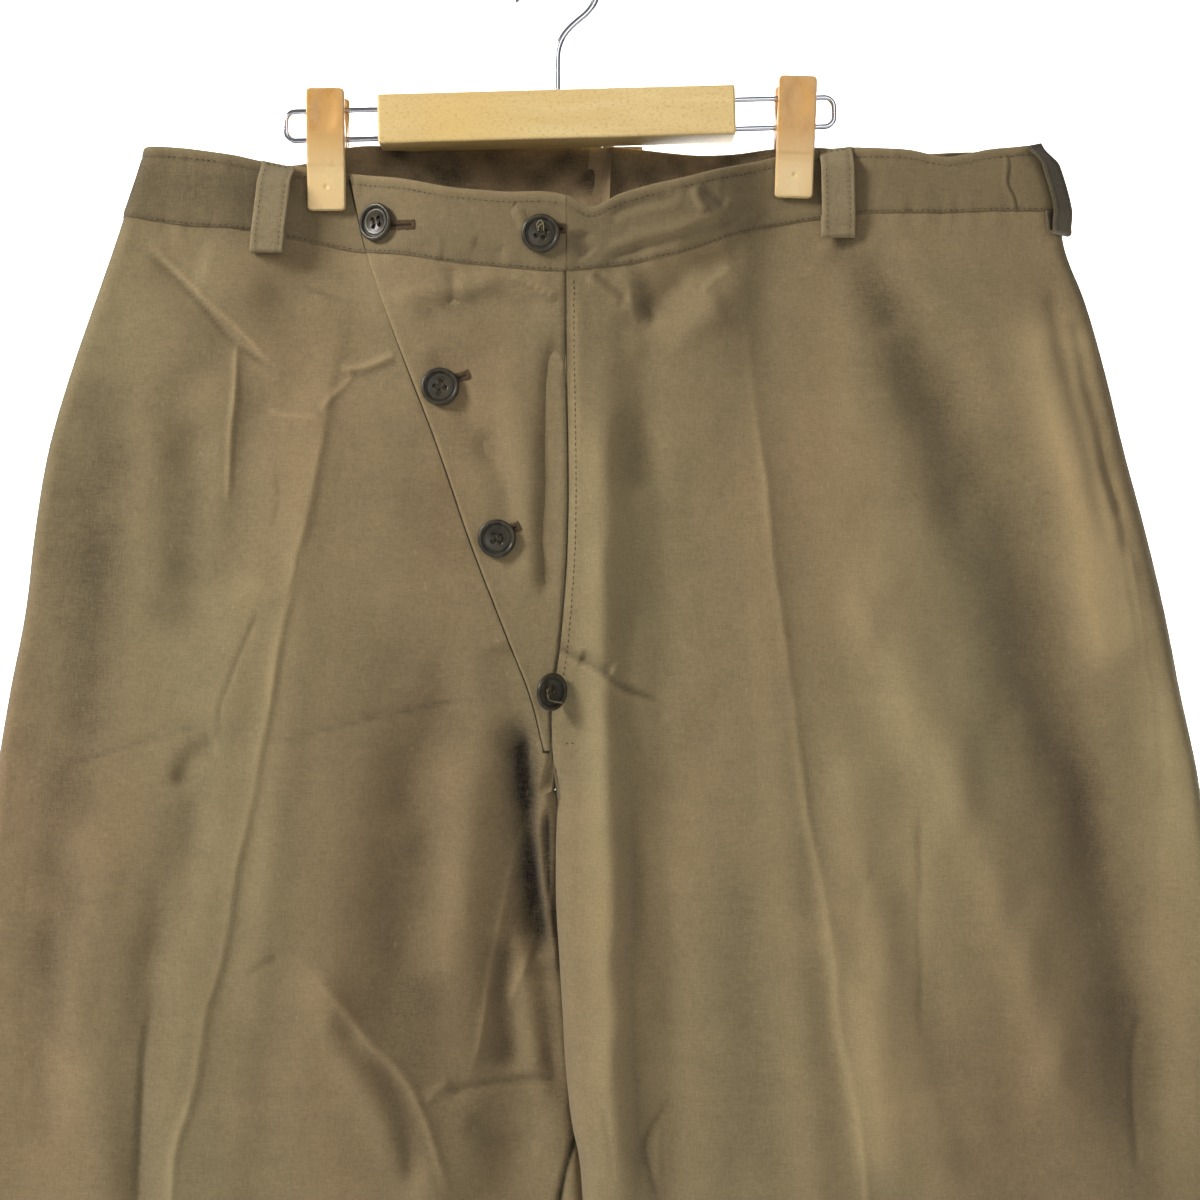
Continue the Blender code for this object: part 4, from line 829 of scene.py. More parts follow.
def surface_y(layer, x, z):
    """The outer surface of a layer's cloth, before the thickness of what lies below it."""
    side, leg = LAYERS[layer]
    outer = read(OUTLINE, leg, z)
    inner = inner_edge(side, leg, z)
    width = np.abs(inner - outer)
    place = (x - outer) / (inner - outer)
    levels = DEPTH[side]
    stations = np.array([read(levels, name, z) for name in list(levels)[1:]])
    relief = crease_relief(layer, x, z)[0] + unevenness(layer, x, z) + seam_puckers(layer, x, z)
    body = hermite(PLACES, stations, place) + fold_height(side, x, z)
    crotch_round = np.clip((z - CROTCH) / (CROTCH_TURN - CROTCH), 0, 1)
    edge = quarter(place * width / ROLL)
    rolled = edge * quarter((1 - place) * width / ROLL + crotch_round)
    grip = clip_grip(x, z)
    depth = body * rolled * (1 - grip) + GRIP_DEPTH * grip * edge
    depth = depth + relief * rolled * (1 - 0.75 * grip)
    depth = depth + flap_lift(side, leg, x, z) * (1 - grip)
    below = ease((CROTCH - z) / LEG_PART) * (1 - ease((-760 - z) / 300))
    middle = LEG_SET[leg] * below * ease((place - 0.55) / 0.45)
    return middle + FACING[side] * (GAP / 2 + depth)


def surface_normal(layer, x, z):
    """Outward direction of a layer's surface."""
    step = 0.6
    across = surface_y(layer, x + step, z) - surface_y(layer, x - step, z)
    along = surface_y(layer, x, z + step) - surface_y(layer, x, z - step)
    return unit(np.stack((-across, np.full_like(x, 2 * step), -along), axis=-1) * FACING[LAYERS[layer][0]])


def spot(layer, x, z, proud=0.0):
    """Points at a height above a layer, and the way out there."""
    x, z = np.broadcast_arrays(np.asarray(x, dtype=float), np.asarray(z, dtype=float))
    points = np.stack((x, surface_y(layer, x, z), z), axis=-1)
    normals = surface_normal(layer, x, z)
    return points + normals * np.asarray(proud)[..., None], normals


def flatten(normals, axis):
    """Normals turned square to an axis."""
    normals[..., axis] = 0
    normals[:] = unit(normals)


def seam_height(side, x):
    return read(WAIST[side], "seam", x)


def follow_seam(side, nominal, x):
    """Rows follow the waist seam at the top and level out above the crotch."""
    sag = seam_height(side, x) - GAP / 2 - BAND_SEAM
    return nominal + sag * ease((nominal - CROTCH_TURN) / (BAND_SEAM - CROTCH_TURN))


def settle(x_at, z_at, across, down):
    """Points of a patch whose columns and rows depend on each other."""
    u, v = np.meshgrid(across, down)
    z = np.full_like(u, BAND_SEAM)
    for _ in range(5):
        x = x_at(u, z)
        z = z_at(v, x)
    return x_at(u, z), z


def rolled_x(marks, outer, inner):
    """X of column marks: 0 to 1 is the outer roll, 1 to 2 the flat, 2 to 3 the inner roll."""
    toward = np.sign(inner - outer)
    width = np.abs(inner - outer)
    first = ROLL * (1 - np.cos(np.clip(marks, 0, 1) * pi / 2))
    middle = (width - 2 * ROLL) * np.clip(marks - 1, 0, 1)
    last = ROLL * np.sin(np.clip(marks - 2, 0, 1) * pi / 2)
    return outer + toward * (first + middle + last)


def rolled_marks(count, turns=8):
    roll = np.linspace(0, 1, turns)
    return np.concatenate((roll[:-1], np.linspace(1, 2, count), 2 + roll[1:]))


def turn_in(points, normals, radius, reach, steps=5):
    """Rows past the last one, folded round and back under it."""
    edge, normal = points[-1], normals[-1]
    outward = edge - points[-2]
    outward = unit(outward - normal * (outward * normal).sum(axis=-1, keepdims=True))
    rows = []
    for angle in np.linspace(0, pi, steps + 1)[1:]:
        rows.append(edge + outward * radius * sin(angle) - normal * radius * (1 - cos(angle)))
    for share in (0.34, 0.67, 1.0):
        rows.append(rows[steps - 1] - outward * reach * share)
    return np.concatenate((points, np.array(rows)))


# Materials.


def srgb(red, green, blue):
    """A colour given in 0-255 display values, as the shader's linear ones."""
    shares = np.array((red, green, blue)) / 255
    linear = np.where(shares <= 0.04045, shares / 12.92, ((shares + 0.055) / 1.055) ** 2.4)
    return (*[float(share) for share in linear], 1.0)


class Nodes:
    """A material's node tree, built from short calls."""

    def __init__(self, name):
        self.material = bpy.data.materials.new(name)
        self.material.use_nodes = True
        self.tree = self.material.node_tree
        self.shader = self.tree.nodes["Principled BSDF"]
        self.place = self.add("ShaderNodeTexCoord", "Object")

    def feed(self, node, inputs):
        """Sets a node's inputs to numbers and colours, or links them to other nodes."""
        for name, value in dict(inputs).items():
            if isinstance(value, bpy.types.NodeSocket):
                self.tree.links.new(value, node.inputs[name])
            else:
                node.inputs[name].default_value = value

    def add(self, kind, output, inputs=(), **settings):
        """A new node's output."""
        node = self.tree.nodes.new(kind)
        for name, value in settings.items():
            setattr(node, name, value)
        self.feed(node, inputs)
        return node.outputs[output]

    def noise(self, scale, detail=2.0, rough=0.5, stretch=(1, 1, 1), distortion=0.0):
        place = self.add("ShaderNodeMapping", "Vector", {"Vector": self.place, "Scale": stretch})
        form = {"Scale": scale, "Detail": detail, "Roughness": rough, "Distortion": distortion}
        return self.add("ShaderNodeTexNoise", "Fac", {"Vector": place, **form})

    def fine(self, detail, rough, stretch, distortion=0.0):
        """Noise with its own scale along each axis."""
        return self.noise(1, detail, rough, stretch, distortion)

    def ramp(self, value, low, high):
        return self.add("ShaderNodeMapRange", "Result", {"Value": value, "From Min": low, "From Max": high})

    def sum(self, first, second, share=1.0):
        """first + share * second."""
        return self.add("ShaderNodeMath", 0, {0: second, 1: share, 2: first}, operation="MULTIPLY_ADD")

    def mix(self, share, first, second):
        inputs = {"Factor": share, MIX_FIRST: first, MIX_SECOND: second}
        return self.add("ShaderNodeMix", MIX_RESULT, inputs, data_type="RGBA")

    def patches(self, colour, where, share, other):
        """A colour turned partly to another one where a value is high."""
        return self.mix(self.sum(0.0, where, share), colour, other)

    def brightness(self, colour, value):
        """Scales a colour by a value round 1."""
        return self.add("ShaderNodeHueSaturation", "Color", {"Color": colour, "Value": value})

    def bump(self, height, strength, distance, **under):
        inputs = {"Height": height, "Strength": strength, "Distance": distance, **under}
        return self.add("ShaderNodeBump", "Normal", inputs)

    def finish(self, colour, roughness, **more):
        self.feed(self.shader, {"Base Color": colour, "Roughness": roughness, **more})
        return self.material


def cloth_material(name, olive, brown, stain=False):
    """Plain-woven cotton: uneven yarns both ways, soft fading, small slubs, and creases rubbed paler and
    changed by painted shade and highlight.
    """
    nodes = Nodes(name)
    fading = nodes.ramp(nodes.noise(5, 3, 0.55, (1.3, 1, 0.6)), 0.30, 0.70)
    colour = nodes.mix(fading, srgb(*olive), srgb(*brown))
    warp = nodes.fine(2, 0.6, (1500, 1500, 240))
    weft = nodes.fine(2, 0.6, (220, 220, 1500))
    mottle = nodes.noise(60, 3, 0.6)
    value = 0.195
    # The last layer is the mesh's colour change: painted shade in troughs and shadowed places, painted
    # highlight on ridges and rims, with some rubbing.
    for layer, share in (
        (warp, 0.46),
        (weft, 0.46),
        (nodes.noise(1100, 1, 0.5), 0.30),
        (nodes.fine(2, 0.6, (230, 230, 7)), 0.05),
        (nodes.fine(2, 0.6, (9, 9, 260)), 0.08),
        (mottle, 0.26),
        (nodes.add("ShaderNodeAttribute", "Fac", attribute_name="wear_and_painted_shading"), 1.0),
    ):
        value = nodes.sum(value, layer, share)
    colour = nodes.brightness(colour, value)
    if stain:
        spots = nodes.ramp(nodes.noise(5.5, 2, 0.5, (1, 1, 0.8)), 0.70, 0.80)
        colour = nodes.patches(colour, spots, 0.16, srgb(158, 116, 66))
        slubs = nodes.ramp(nodes.noise(420, 0, 0.5, (1, 1, 0.5)), 0.82, 0.86)
        colour = nodes.patches(colour, slubs, 0.12, srgb(184, 172, 138))
    normal = nodes.bump(mottle, 0.10, 0.0010)
    normal = nodes.bump(nodes.fine(3, 0.55, (130, 130, 75), 0.4), 0.22, 0.0010, Normal=normal)
    normal = nodes.bump(nodes.sum(warp, weft, 1.0), 0.30, 0.00035, Normal=normal)
    sheen = {"Sheen Weight": 0.12, "Sheen Roughness": 0.6, "Specular IOR Level": 0.22}
    return nodes.finish(colour, 0.88, Normal=normal, **sheen)


def thread_material(name, *colour):
    nodes = Nodes(name)
    shade = nodes.brightness(srgb(*colour), nodes.sum(0.72, nodes.noise(500, 2), 0.6))
    twist = nodes.bump(nodes.fine(1, 0.5, (1500, 1500, 1500)), 0.3, 0.0002)
    return nodes.finish(shade, 0.8, Normal=twist)


def button_material():
    """Dark horn-like plastic, cloudy and glossy."""
    nodes = Nodes("button_look")
    cloud = nodes.ramp(nodes.noise(160, 4, 0.6, (1, 1, 0.6), 0.6), 0.35, 0.7)
    colour = nodes.mix(cloud, srgb(38, 35, 27), srgb(70, 63, 47))
    rough = nodes.sum(0.24, nodes.fine(2, 0.6, (900, 900, 120)), 0.20)
    normal = nodes.bump(cloud, 0.08, 0.0003)
    return nodes.finish(colour, rough, Normal=normal, **{"Specular IOR Level": 0.38})


def wood_material():
    """Pale beech: long grain along X, short pores and a slight warm stain."""
    nodes = Nodes("wood_look")
    grain = nodes.fine(4, 0.6, (9, 60, 90), 0.8)
    colour = nodes.mix(nodes.ramp(grain, 0.30, 0.70), srgb(226, 199, 138), srgb(216, 184, 120))
    pores = nodes.ramp(nodes.fine(2, 0.6, (520, 900, 900)), 0.52, 0.70)
    colour = nodes.patches(colour, pores, 0.55, srgb(190, 150, 88))
    warm = nodes.ramp(nodes.noise(11, 1, 0.4, (1, 1, 1.4)), 0.58, 0.72)
    colour = nodes.patches(colour, warm, 0.35, srgb(226, 184, 92))
    coat = {"Coat Weight": 0.12, "Coat Roughness": 0.3}
    return nodes.finish(colour, nodes.sum(0.42, grain, 0.16), Normal=nodes.bump(pores, 0.18, 0.0003), **coat)


def clip_material():
    """Amber plastic, deeper in colour towards the top and paler at the jaw."""
    nodes = Nodes("clip_plastic_look")
    height = nodes.add("ShaderNodeSeparateXYZ", "Z", {"Vector": nodes.place})
    colour = nodes.mix(nodes.ramp(height, -0.120, -0.098), srgb(222, 194, 142), srgb(196, 148, 82))
    cloud = nodes.ramp(nodes.noise(90, 3, 0.6, (1, 1, 0.6)), 0.35, 0.68)
    colour = nodes.patches(colour, cloud, 0.35, srgb(226, 184, 122))
    glow = {"Subsurface Weight": 0.15, "Subsurface Radius": (0.004, 0.002, 0.001)}
    return nodes.finish(colour, nodes.sum(0.24, cloud, 0.14), Normal=nodes.bump(cloud, 0.08, 0.0003), **glow)


def steel_material():
    nodes = Nodes("steel_look")
    dull = nodes.fine(2, 0.5, (60, 900, 900))
    normal = nodes.bump(dull, 0.05, 0.0002)
    return nodes.finish(srgb(205, 206, 212), nodes.sum(0.10, dull, 0.16), Normal=normal, Metallic=1.0)


def plain_material(name, colour, roughness):
    nodes = Nodes(name)
    return nodes.finish(nodes.brightness(colour, nodes.sum(0.97, nodes.noise(3, 2), 0.06)), roughness)


# Meshes.


def placed(name, data):
    """Data put into the scene under a name."""
    piece = bpy.data.objects.new(name, data)
    bpy.context.scene.collection.objects.link(piece)
    return piece


def shell(name, points, looks, facing, lining_from=None, layer=None, closed=False, tint=0.0):
    """A grid of points in millimetres as a smooth sheet; rows from lining_from on take the second look."""
    rows, columns = points.shape[:2]
    flat = points.reshape(-1, 3)
    index = np.arange(rows * columns).reshape(rows, columns)
    if closed:
        index = np.concatenate((index, index[:, :1]), axis=1)
    quads = np.stack((index[:-1, :-1], index[:-1, 1:], index[1:, 1:], index[1:, :-1]), axis=-1)
    row, column = (0, 0) if rows < 4 else (rows // 4, columns // 2)
    corner = points[row, column]
    square = np.cross(points[row, column + 1] - corner, points[row + 1, column] - corner)
    if np.dot(square, facing) < 0:
        quads = quads[..., ::-1]
    strips = quads.shape[1]
    quads = quads.reshape(-1, 4)
    mesh = bpy.data.meshes.new(name)
    mesh.from_pydata((flat * MM).tolist(), [], quads.tolist())
    mesh.polygons.foreach_set("use_smooth", np.ones(len(quads), dtype=bool))
    for look in looks:
        mesh.materials.append(LOOKS[look])
    if lining_from is not None:
        slots = np.zeros(len(quads), dtype=np.int32)
        slots[lining_from * strips :] = 1
        mesh.polygons.foreach_set("material_index", slots)
    # Per-point colour change: painted shade and highlight from the caller and from the layer's creases, with
    # some rubbing.
    wear_and_painted_shading = mesh.attributes.new("wear_and_painted_shading", "FLOAT", "POINT")
    tint = np.broadcast_to(tint, (rows, columns)).ravel()
    if layer:
        tint = tint + painted_shading_and_wear(layer, flat[:, 0], flat[:, 2])
    wear_and_painted_shading.data.foreach_set("value", np.clip(tint, *PAINTED_SHADING_LIMITS).astype(np.float32))
    mesh.update()
    return placed(name, mesh)


def turned_outward(mesh, fill=False):
    """A mesh's faces turned outward, after its open ends are filled."""
    shape = bmesh.new()
    shape.from_mesh(mesh)
    if fill:
        bmesh.ops.holes_fill(shape, edges=[e for e in shape.edges if e.is_boundary], sides=60)
    bmesh.ops.recalc_face_normals(shape, faces=shape.faces)
    shape.to_mesh(mesh)
    shape.free()


def solid(name, points, faces, look, sharp=35):
    """A smooth mesh in millimetres with its faces turned outward."""
    mesh = bpy.data.meshes.new(name)
    mesh.from_pydata([tuple(MM * value for value in point) for point in points], [], faces)
    turned_outward(mesh)
    mesh.materials.append(LOOKS[look])
    mesh.shade_smooth()
    mesh.set_sharp_from_angle(angle=radians(sharp))
    return placed(name, mesh)


def settled(piece, *nodes, slot="cloth"):
    """The piece hangs with the part and stands for the nodes; the slot is not used."""
    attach(piece, "root")
    if nodes:
        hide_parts(*nodes)
    return piece


# Cloth pieces.


def panel_rows(fine):
    """Nominal heights down a panel, a fine step apart as far as the photographed part reaches."""
    above = np.arange(BAND_SEAM + PANEL_TUCK, CROTCH_TURN, -fine)
    under = CROTCH_TURN - (CROTCH_TURN - CROTCH) * np.sin(np.linspace(0, pi / 2, 26)[1:])
    leg = np.arange(CROTCH - fine, FINE_TO, -fine)
    lower = np.linspace(leg[-1], HEM, round((leg[-1] - HEM) / COARSE_STEP))[1:]
    return np.concatenate((above, under, leg, lower))


def panel_patch(layer, marks, rows):
    """Points of a panel."""
    side, leg = LAYERS[layer]

    def x_at(u, z):
        inner = inner_edge(side, leg, z) + np.where(z > CROTCH - GAP, LEG_SIGN[leg] * GAP / 2, 0)
        return rolled_x(u, read(OUTLINE, leg, z), inner)

    x, z = settle(x_at, lambda v, x: follow_seam(side, v, x), marks, rows)
    return np.stack((x, surface_y(layer, x, z), z), axis=-1)


def make_panel(name, layer, count, fine):
    side, leg = LAYERS[layer]
    points = panel_patch(layer, rolled_marks(count), panel_rows(fine))
    normals = np.zeros_like(points)
    inside = np.array((0.0, FACING[side], 0.0))
    share = np.linspace(0, 1, points.shape[1])
    ends = LEG_SIGN[leg] * (1 - ease(share / 0.05)) - LEG_SIGN[leg] * ease((share - 0.95) / 0.05)
    normals[-1] = unit(inside + np.stack((2.0 * ends, 0 * ends, 0 * ends), axis=-1))
    points = turn_in(points, normals, TURN_RADIUS, HEM_TURN)
    piece = settled(shell(name, points, ("cloth",), inside, layer=layer), name)


def band_points(layer, count, down, rolled):
    """A stretch of the waistband's surface, from its seam up to its top edge."""
    side, leg = LAYERS[layer]
    waist = WAIST[side]

    def x_at(u, z):
        inner = read(CENTRE, side, z) + LEG_SIGN[leg] * GAP / 2
        if rolled:
            return rolled_x(u * 2, read(OUTLINE, leg, z), inner - LEG_SIGN[leg] * ROLL)
        return read(FLAP_EDGE, "x", z) * (1 - u) + inner * u

    def z_at(v, x):
        top = read(waist, "top", x) + EDGE_WAVE * ripple(x, 21, 41)
        return top * (1 - v) + (read(waist, "seam", x) + GAP / 2) * v

    across = np.linspace(0, 1, count)
    if rolled:
        across = np.concatenate((np.linspace(0, 0.5, 9)[:-1], np.linspace(0.5, 1, count)))
    return settle(x_at, z_at, across, down)


def band_puckers(x, share):
    """Gathers across the band beside its two rows of stitching; share runs from its top to its seam."""
    at_seam = bell(share - 0.96, 0.10)
    at_top = bell(share - 0.12, 0.09) + 0.5 * bell(share - 0.22, 0.2) * (0.5 + ripple(x, 31, 53))
    gather = ripple(x, 2.9, 51) + 0.7 * ripple(x, 7.3, 54)
    finer = ripple(x, 2.6, 52) + 0.7 * ripple(x, 6.1, 55)
    sewn = -0.5 * bell(share - 0.12, 0.018) - 0.45 * bell(share - 0.95, 0.02)
    return BAND_PUCKER * (gather * at_top + 0.8 * finer * at_seam) + 0.7 * sewn


def band_tint(x, z, down, wrinkled, steps, rims):
    """Tints of a band's rows: pale top edge and rims, rubbed and painted as highlight; painted shade beside
    stitching, under the lower edge and deep inside.
    """
    wear_and_painted_shading = 0.26 * bell(down, 0.045) - 0.14 * bell(down - 0.12, 0.03) - 0.14 * bell(down - 0.97, 0.04)
    outer = np.concatenate((wear_and_painted_shading[:3] - 0.1, wear_and_painted_shading, [0.26] * rims))[:, None]
    shaded = -0.44 * ease((0.86 - down) / 0.5)[:, None] - 0.16 * bell(down[:, None] - 0.90, 0.03)
    # Inside: random tone, painted shading of the lining's wrinkles by their height, and painted shadow
    # towards its lower part.
    inner = (0.30 * noise(x, z, 15, 13, 62) + 0.25 * wrinkled + shaded)[steps] + 0.08
    return np.concatenate((np.broadcast_to(outer, (len(outer), x.shape[1])), inner))


def make_band(name, layer, count, proud, thick, rolled=True):
    side, leg = LAYERS[layer]
    down = np.linspace(1, 0, 26)
    x, z = band_points(layer, count, down, rolled)
    points, normals = spot(layer, x, z)
    if rolled:
        slope = read(OUTLINE, leg, z[:, 0] + 0.5) - read(OUTLINE, leg, z[:, 0] - 0.5)
        normals[:, 0] = LEG_SIGN[leg] * np.stack((0 * slope + 1, 0 * slope, -slope), axis=-1)
        flatten(normals[:, 0], 1)
    for edge in (0, -1):
        flatten(normals[edge], 2)
    puckers = band_puckers(x, np.broadcast_to(down[:, None], x.shape))
    seam_proud = (FLAP_PROUD if layer == "flap" else 0.0) + 0.35
    lift = seam_proud + (proud - seam_proud) * ease((1 - down) * 38 / 2.2)
    outer = points + normals * (lift[:, None, None] + puckers[..., None])
    under = [points[0] + normals[0] * (seam_proud - drop) for drop in (0.9, 0.6, 0.3)]
    radius = thick / 2
    over = []
    for angle in np.linspace(0, pi, 7)[1:-1]:
        rise = np.array((0.0, 0.0, radius * 0.9 * sin(angle)))
        over.append(points[-1] + normals[-1] * (proud - radius + radius * cos(angle)) + rise)
    steps = np.linspace(len(down) - 1, 0, 14).round().astype(int)
    inner = points[steps] + normals[steps] * (proud - thick)
    wrinkled = 0.7 * noise(x + 0.5 * z, z, 7, 26, 61) + 0.6 * noise(x, z - 0.6 * x, 12, 6, 64)
    inner[1:] += normals[steps[1:]] * LINING_WRINKLE * wrinkled[steps[1:], :, None]
    grid = np.concatenate((under, outer, over, inner))
    tint = band_tint(x, z, down, wrinkled, steps, len(over))
    facing = (0.0, FACING[side], 0.0)
    lining_from = len(grid) - len(inner) - 2
    piece = settled(shell(name, grid, ("band", "lining"), facing, lining_from, layer, tint=tint), name)
    width = float(np.hypot(*np.diff(points[12][:, :2], axis=0).T).sum()) * MM


def make_flap():
    def x_at(u, z):
        centre = read(CENTRE, "front", z) - GAP / 2
        return read(FLAP_EDGE, "x", z) * (1 - u) + centre * u

    rows = np.concatenate((np.arange(BAND_SEAM + PANEL_TUCK, -400, -1.7), np.linspace(-400, FLAP_END, 18)))
    stations = np.concatenate((np.linspace(0, 0.06, 5)[:-1], np.linspace(0.06, 1, 56)))
    x, z = settle(x_at, lambda v, x: follow_seam("front", v, x), stations, rows)
    points, normals = spot("flap", x, z)
    from_edge = x - read(FLAP_EDGE, "x", z)
    from_centre = read(CENTRE, "front", z) - x
    sewn = -0.9 * bell(from_centre, 1.2)
    lifted = 0.25 * bell(from_edge, 1.6)
    slack = 0.35 * ripple(z, 26, 91) * bell(from_edge, 14)
    points = points + normals * (FLAP_PROUD + sewn + lifted + slack)[..., None]
    across_first = [grid.swapaxes(0, 1)[::-1] for grid in (points, normals)]
    grid = turn_in(*across_first, TURN_RADIUS, FLAP_TURN).swapaxes(0, 1)
    # Flap tint: pale along its free edge (rubbed, and painted highlight), a faint painted shade line beside
    # it, and painted shade in the sewn groove at the centre and on the turned-in underside.
    wear_and_painted_shading = 0.22 * bell(from_edge, 1.2) - 0.05 * bell(from_edge - 4.5, 2.5)
    wear_and_painted_shading = wear_and_painted_shading - 0.40 * bell(from_centre, 1.3) - 0.10 * bell(from_centre, 7)
    behind = np.full((len(wear_and_painted_shading), grid.shape[1] - wear_and_painted_shading.shape[1]), -0.3)
    tint = np.concatenate((wear_and_painted_shading[:, ::-1], behind), axis=1)
    piece = settled(shell("fly_flap", grid, ("cloth",), FORWARD, layer="flap", tint=tint), "fly_flap")


def make_flap_shadow():
    """A near-black strip laid just beyond the flap's slanted edge: painted shadow of the gap under it,
    showing as a narrow line.
    """
    down = np.linspace(-124, FLAP_END - 2, 190)
    on_band = BAND_PROUD * (1 - ease((-161 - down) / 2))
    rows = []
    for across in (-1.5, -0.9, 0.0, 1.5, 4.0):
        rows.append(spot("left", read(FLAP_EDGE, "x", down) + across, down, on_band + 0.7)[0])
    settled(shell("flap_shadow_strip", np.array(rows).swapaxes(0, 1), ("shadow_cloth",), FORWARD))


def make_tape():
    """A strip sewn over the centre back seam of the waistband, seen from inside."""
    down = np.linspace(-102, -163, 31)
    rows = []
    for across in np.linspace(-7, 7, 7):
        x = read(CENTRE, "back", down) + across + 0.5 * ripple(down, 9, 71)
        z = np.minimum(down, read(WAIST["back"], "top", x) - 0.6)
        point, normal = spot("back_left", x, z)
        rows.append(point - normal * (BAND_THICK - BAND_PROUD + 0.5 + 0.4 * bell(across, 3)))
    settled(shell("waistband_back_tape", np.array(rows).swapaxes(0, 1), ("lining",), FORWARD))


def ribbon(rows):
    """A closed strap swept down rows of (middle, across, out, down) in millimetres."""
    half, edge = LOOP_WIDTH / 2, LOOP_WALL / 2
    turns = np.linspace(0, pi, 5)[1:-1]
    around = [(c, edge) for c in np.linspace(-half + edge, half - edge, 13)]
    around += [(half - edge + edge * sin(a), edge * cos(a)) for a in turns]
    around += [(c, -edge) for c in np.linspace(half - edge, -half + edge, 7)]
    around += [(-half + edge - edge * sin(a), -edge * cos(a)) for a in turns]
    rings = []
    for middle, across, out, down in rows:
        square = np.cross(across, down)
        square *= np.sign(np.dot(square, out)) or 1.0
        ring = []
        for c, height in around:
            if height > 0:
                height -= 0.1 * (1 - (c / half) ** 2) + 0.28 * bell(abs(c) - (half - LOOP_SEAM), 0.5)
            ring.append(middle + across * c + square * height)
        rings.append(ring)
    return np.array(rings)


def strap_course(rest, stand_off, foot):
    """A loop's course: distances down, heights above the cloth, folded back at the foot, and freedom."""
    down = np.concatenate((np.linspace(0, 0.24, 9), np.linspace(0.27, 0.95, 18)))
    rise = ease(down / 0.24)
    height = rest + rise * (stand_off - rest) - 0.5 * np.sin(np.clip((down - 0.24) / 0.7, 0, 1) * pi)
    height = height - (stand_off - foot) * ease((down - 0.72) / 0.23)
    course = list(zip(down * (LOOP_LENGTH + 0.5), height, rise))
    end_drop, end_height, _ = course[-1]
    for angle in np.linspace(0, pi, 9)[1:]:
        under = FOLD_RADIUS * (1 - cos(angle))
        course.append((end_drop + FOLD_RADIUS * sin(angle), end_height - under, 1.0))
    for back in (3.0, 7.0, 10.0):
        course.append((end_drop - back, end_height - 2 * FOLD_RADIUS - 0.02 * back, 1.0))
    return np.array(course).T


def strap_frames(middles, widths, facing):
    """Each cross-section of a strap as (middle, across, out, down)."""
    rows = []
    for k, middle in enumerate(middles):
        run = unit(middles[min(k + 1, len(middles) - 1)] - middles[max(k - 1, 0)])
        across = unit(widths[k] - run * np.dot(widths[k], run))
        out = np.cross(across, run)
        if k == 0:
            flip = 1.0 if np.dot(out, facing) > 0 else -1.0
        rows.append((middle, across, out * flip, run))
    return rows


def loop_rows(layer, x, slant):
    """The cross-sections of a belt loop on the front or the back."""
    side = LAYERS[layer][0]
    sign = FACING[side]
    top = float(read(WAIST[side], "top", x)) + (0.4 if side == "front" else 2.2)
    drop, height, free = strap_course(2.1, LOOP_STAND_OFF + BAND_PROUD + 0.8, 4.4)
    middle_x = x + slant * drop / LOOP_LENGTH
    grid_x = middle_x[:, None] + np.linspace(-LOOP_WIDTH / 2, LOOP_WIDTH / 2, 5)
    surface = surface_y(layer, grid_x, np.broadcast_to((top - drop)[:, None], grid_x.shape))
    level = (surface * sign).max(axis=1) * sign
    y = surface[:, 2] + (level - surface[:, 2]) * free + sign * height
    tilt = (surface[:, 4] - surface[:, 0]) * (1 - free)
    widths = np.stack((0 * tilt + LOOP_WIDTH, tilt, 0 * tilt), axis=-1)
    return strap_frames(np.stack((middle_x, y, top - drop), axis=-1), widths, (0.0, sign, 0.0))


def side_loop_rows():
    """The loop on the left outseam: it hugs the rolled edge, turned half to the front."""
    top = float(read(WAIST["back"], "top", read(OUTLINE, "right", -120.0))) + 0.4
    drop, height, _ = strap_course(1.6, LOOP_STAND_OFF + BAND_PROUD - 0.6, 3.6)
    away = np.array((cos(SIDE_LOOP_TURN), -sin(SIDE_LOOP_TURN), 0.0))
    z = top - drop
    base = np.stack((read(OUTLINE, "right", z) - 4.4, 0 * z - 7.0, z), axis=-1)
    widths = np.tile((sin(SIDE_LOOP_TURN), cos(SIDE_LOOP_TURN), 0.0), (len(z), 1))
    return strap_frames(base + away * height[:, None], widths, (1.0, 0.0, 0.0))


def shrunk(ring):
    """A ring drawn in round its middle, to close a strap's end."""
    middle = ring.mean(axis=0, keepdims=True)
    return middle + (ring - middle) * 0.3


def make_loop(name, rows, shade=0.0):
    rings = ribbon(rows)
    grid = np.concatenate(([shrunk(rings[0])], rings, [shrunk(rings[-1])]))
    around = np.arange(grid.shape[1])
    from_middle = np.abs(around - 6)
    edges = (from_middle > 5.2) * (around < 13)
    # Pale edges, rubbed and painted as highlight (brighter on a shaded loop), painted shade at the stitching
    # grooves, and the whole loop darkened by its painted shade.
    wear_and_painted_shading = (0.14 - 0.5 * shade) * edges - 0.16 * (np.abs(from_middle - 4.2) < 0.6)
    tint = ((wear_and_painted_shading + shade) * np.ones((len(grid), 1)))[:, ::-1]
    piece = shell(name, grid[:, ::-1], ("loop",), rows[len(rows) // 3][2], closed=True, tint=tint)
    turned_outward(piece.data, fill=True)
    settled(piece, name)
    for edge in (-1, 1):
        shift, raised = edge * (LOOP_WIDTH / 2 - LOOP_SEAM), LOOP_WALL / 2 - 0.2
        line = [middle + across * shift + out * raised for middle, across, out, _ in rows[3:27]]
        STITCHES.append((np.array(line), np.array([row[2] for row in rows[3:27]])))
    middle, across, out, _ = rows[1]
    shifts = np.linspace(-LOOP_WIDTH / 2 + 2, LOOP_WIDTH / 2 - 2, 8)
    line = np.array([middle + across * shift + out * (LOOP_WALL / 2) for shift in shifts])
    STITCHES.append((line, np.tile(out, (len(line), 1))))


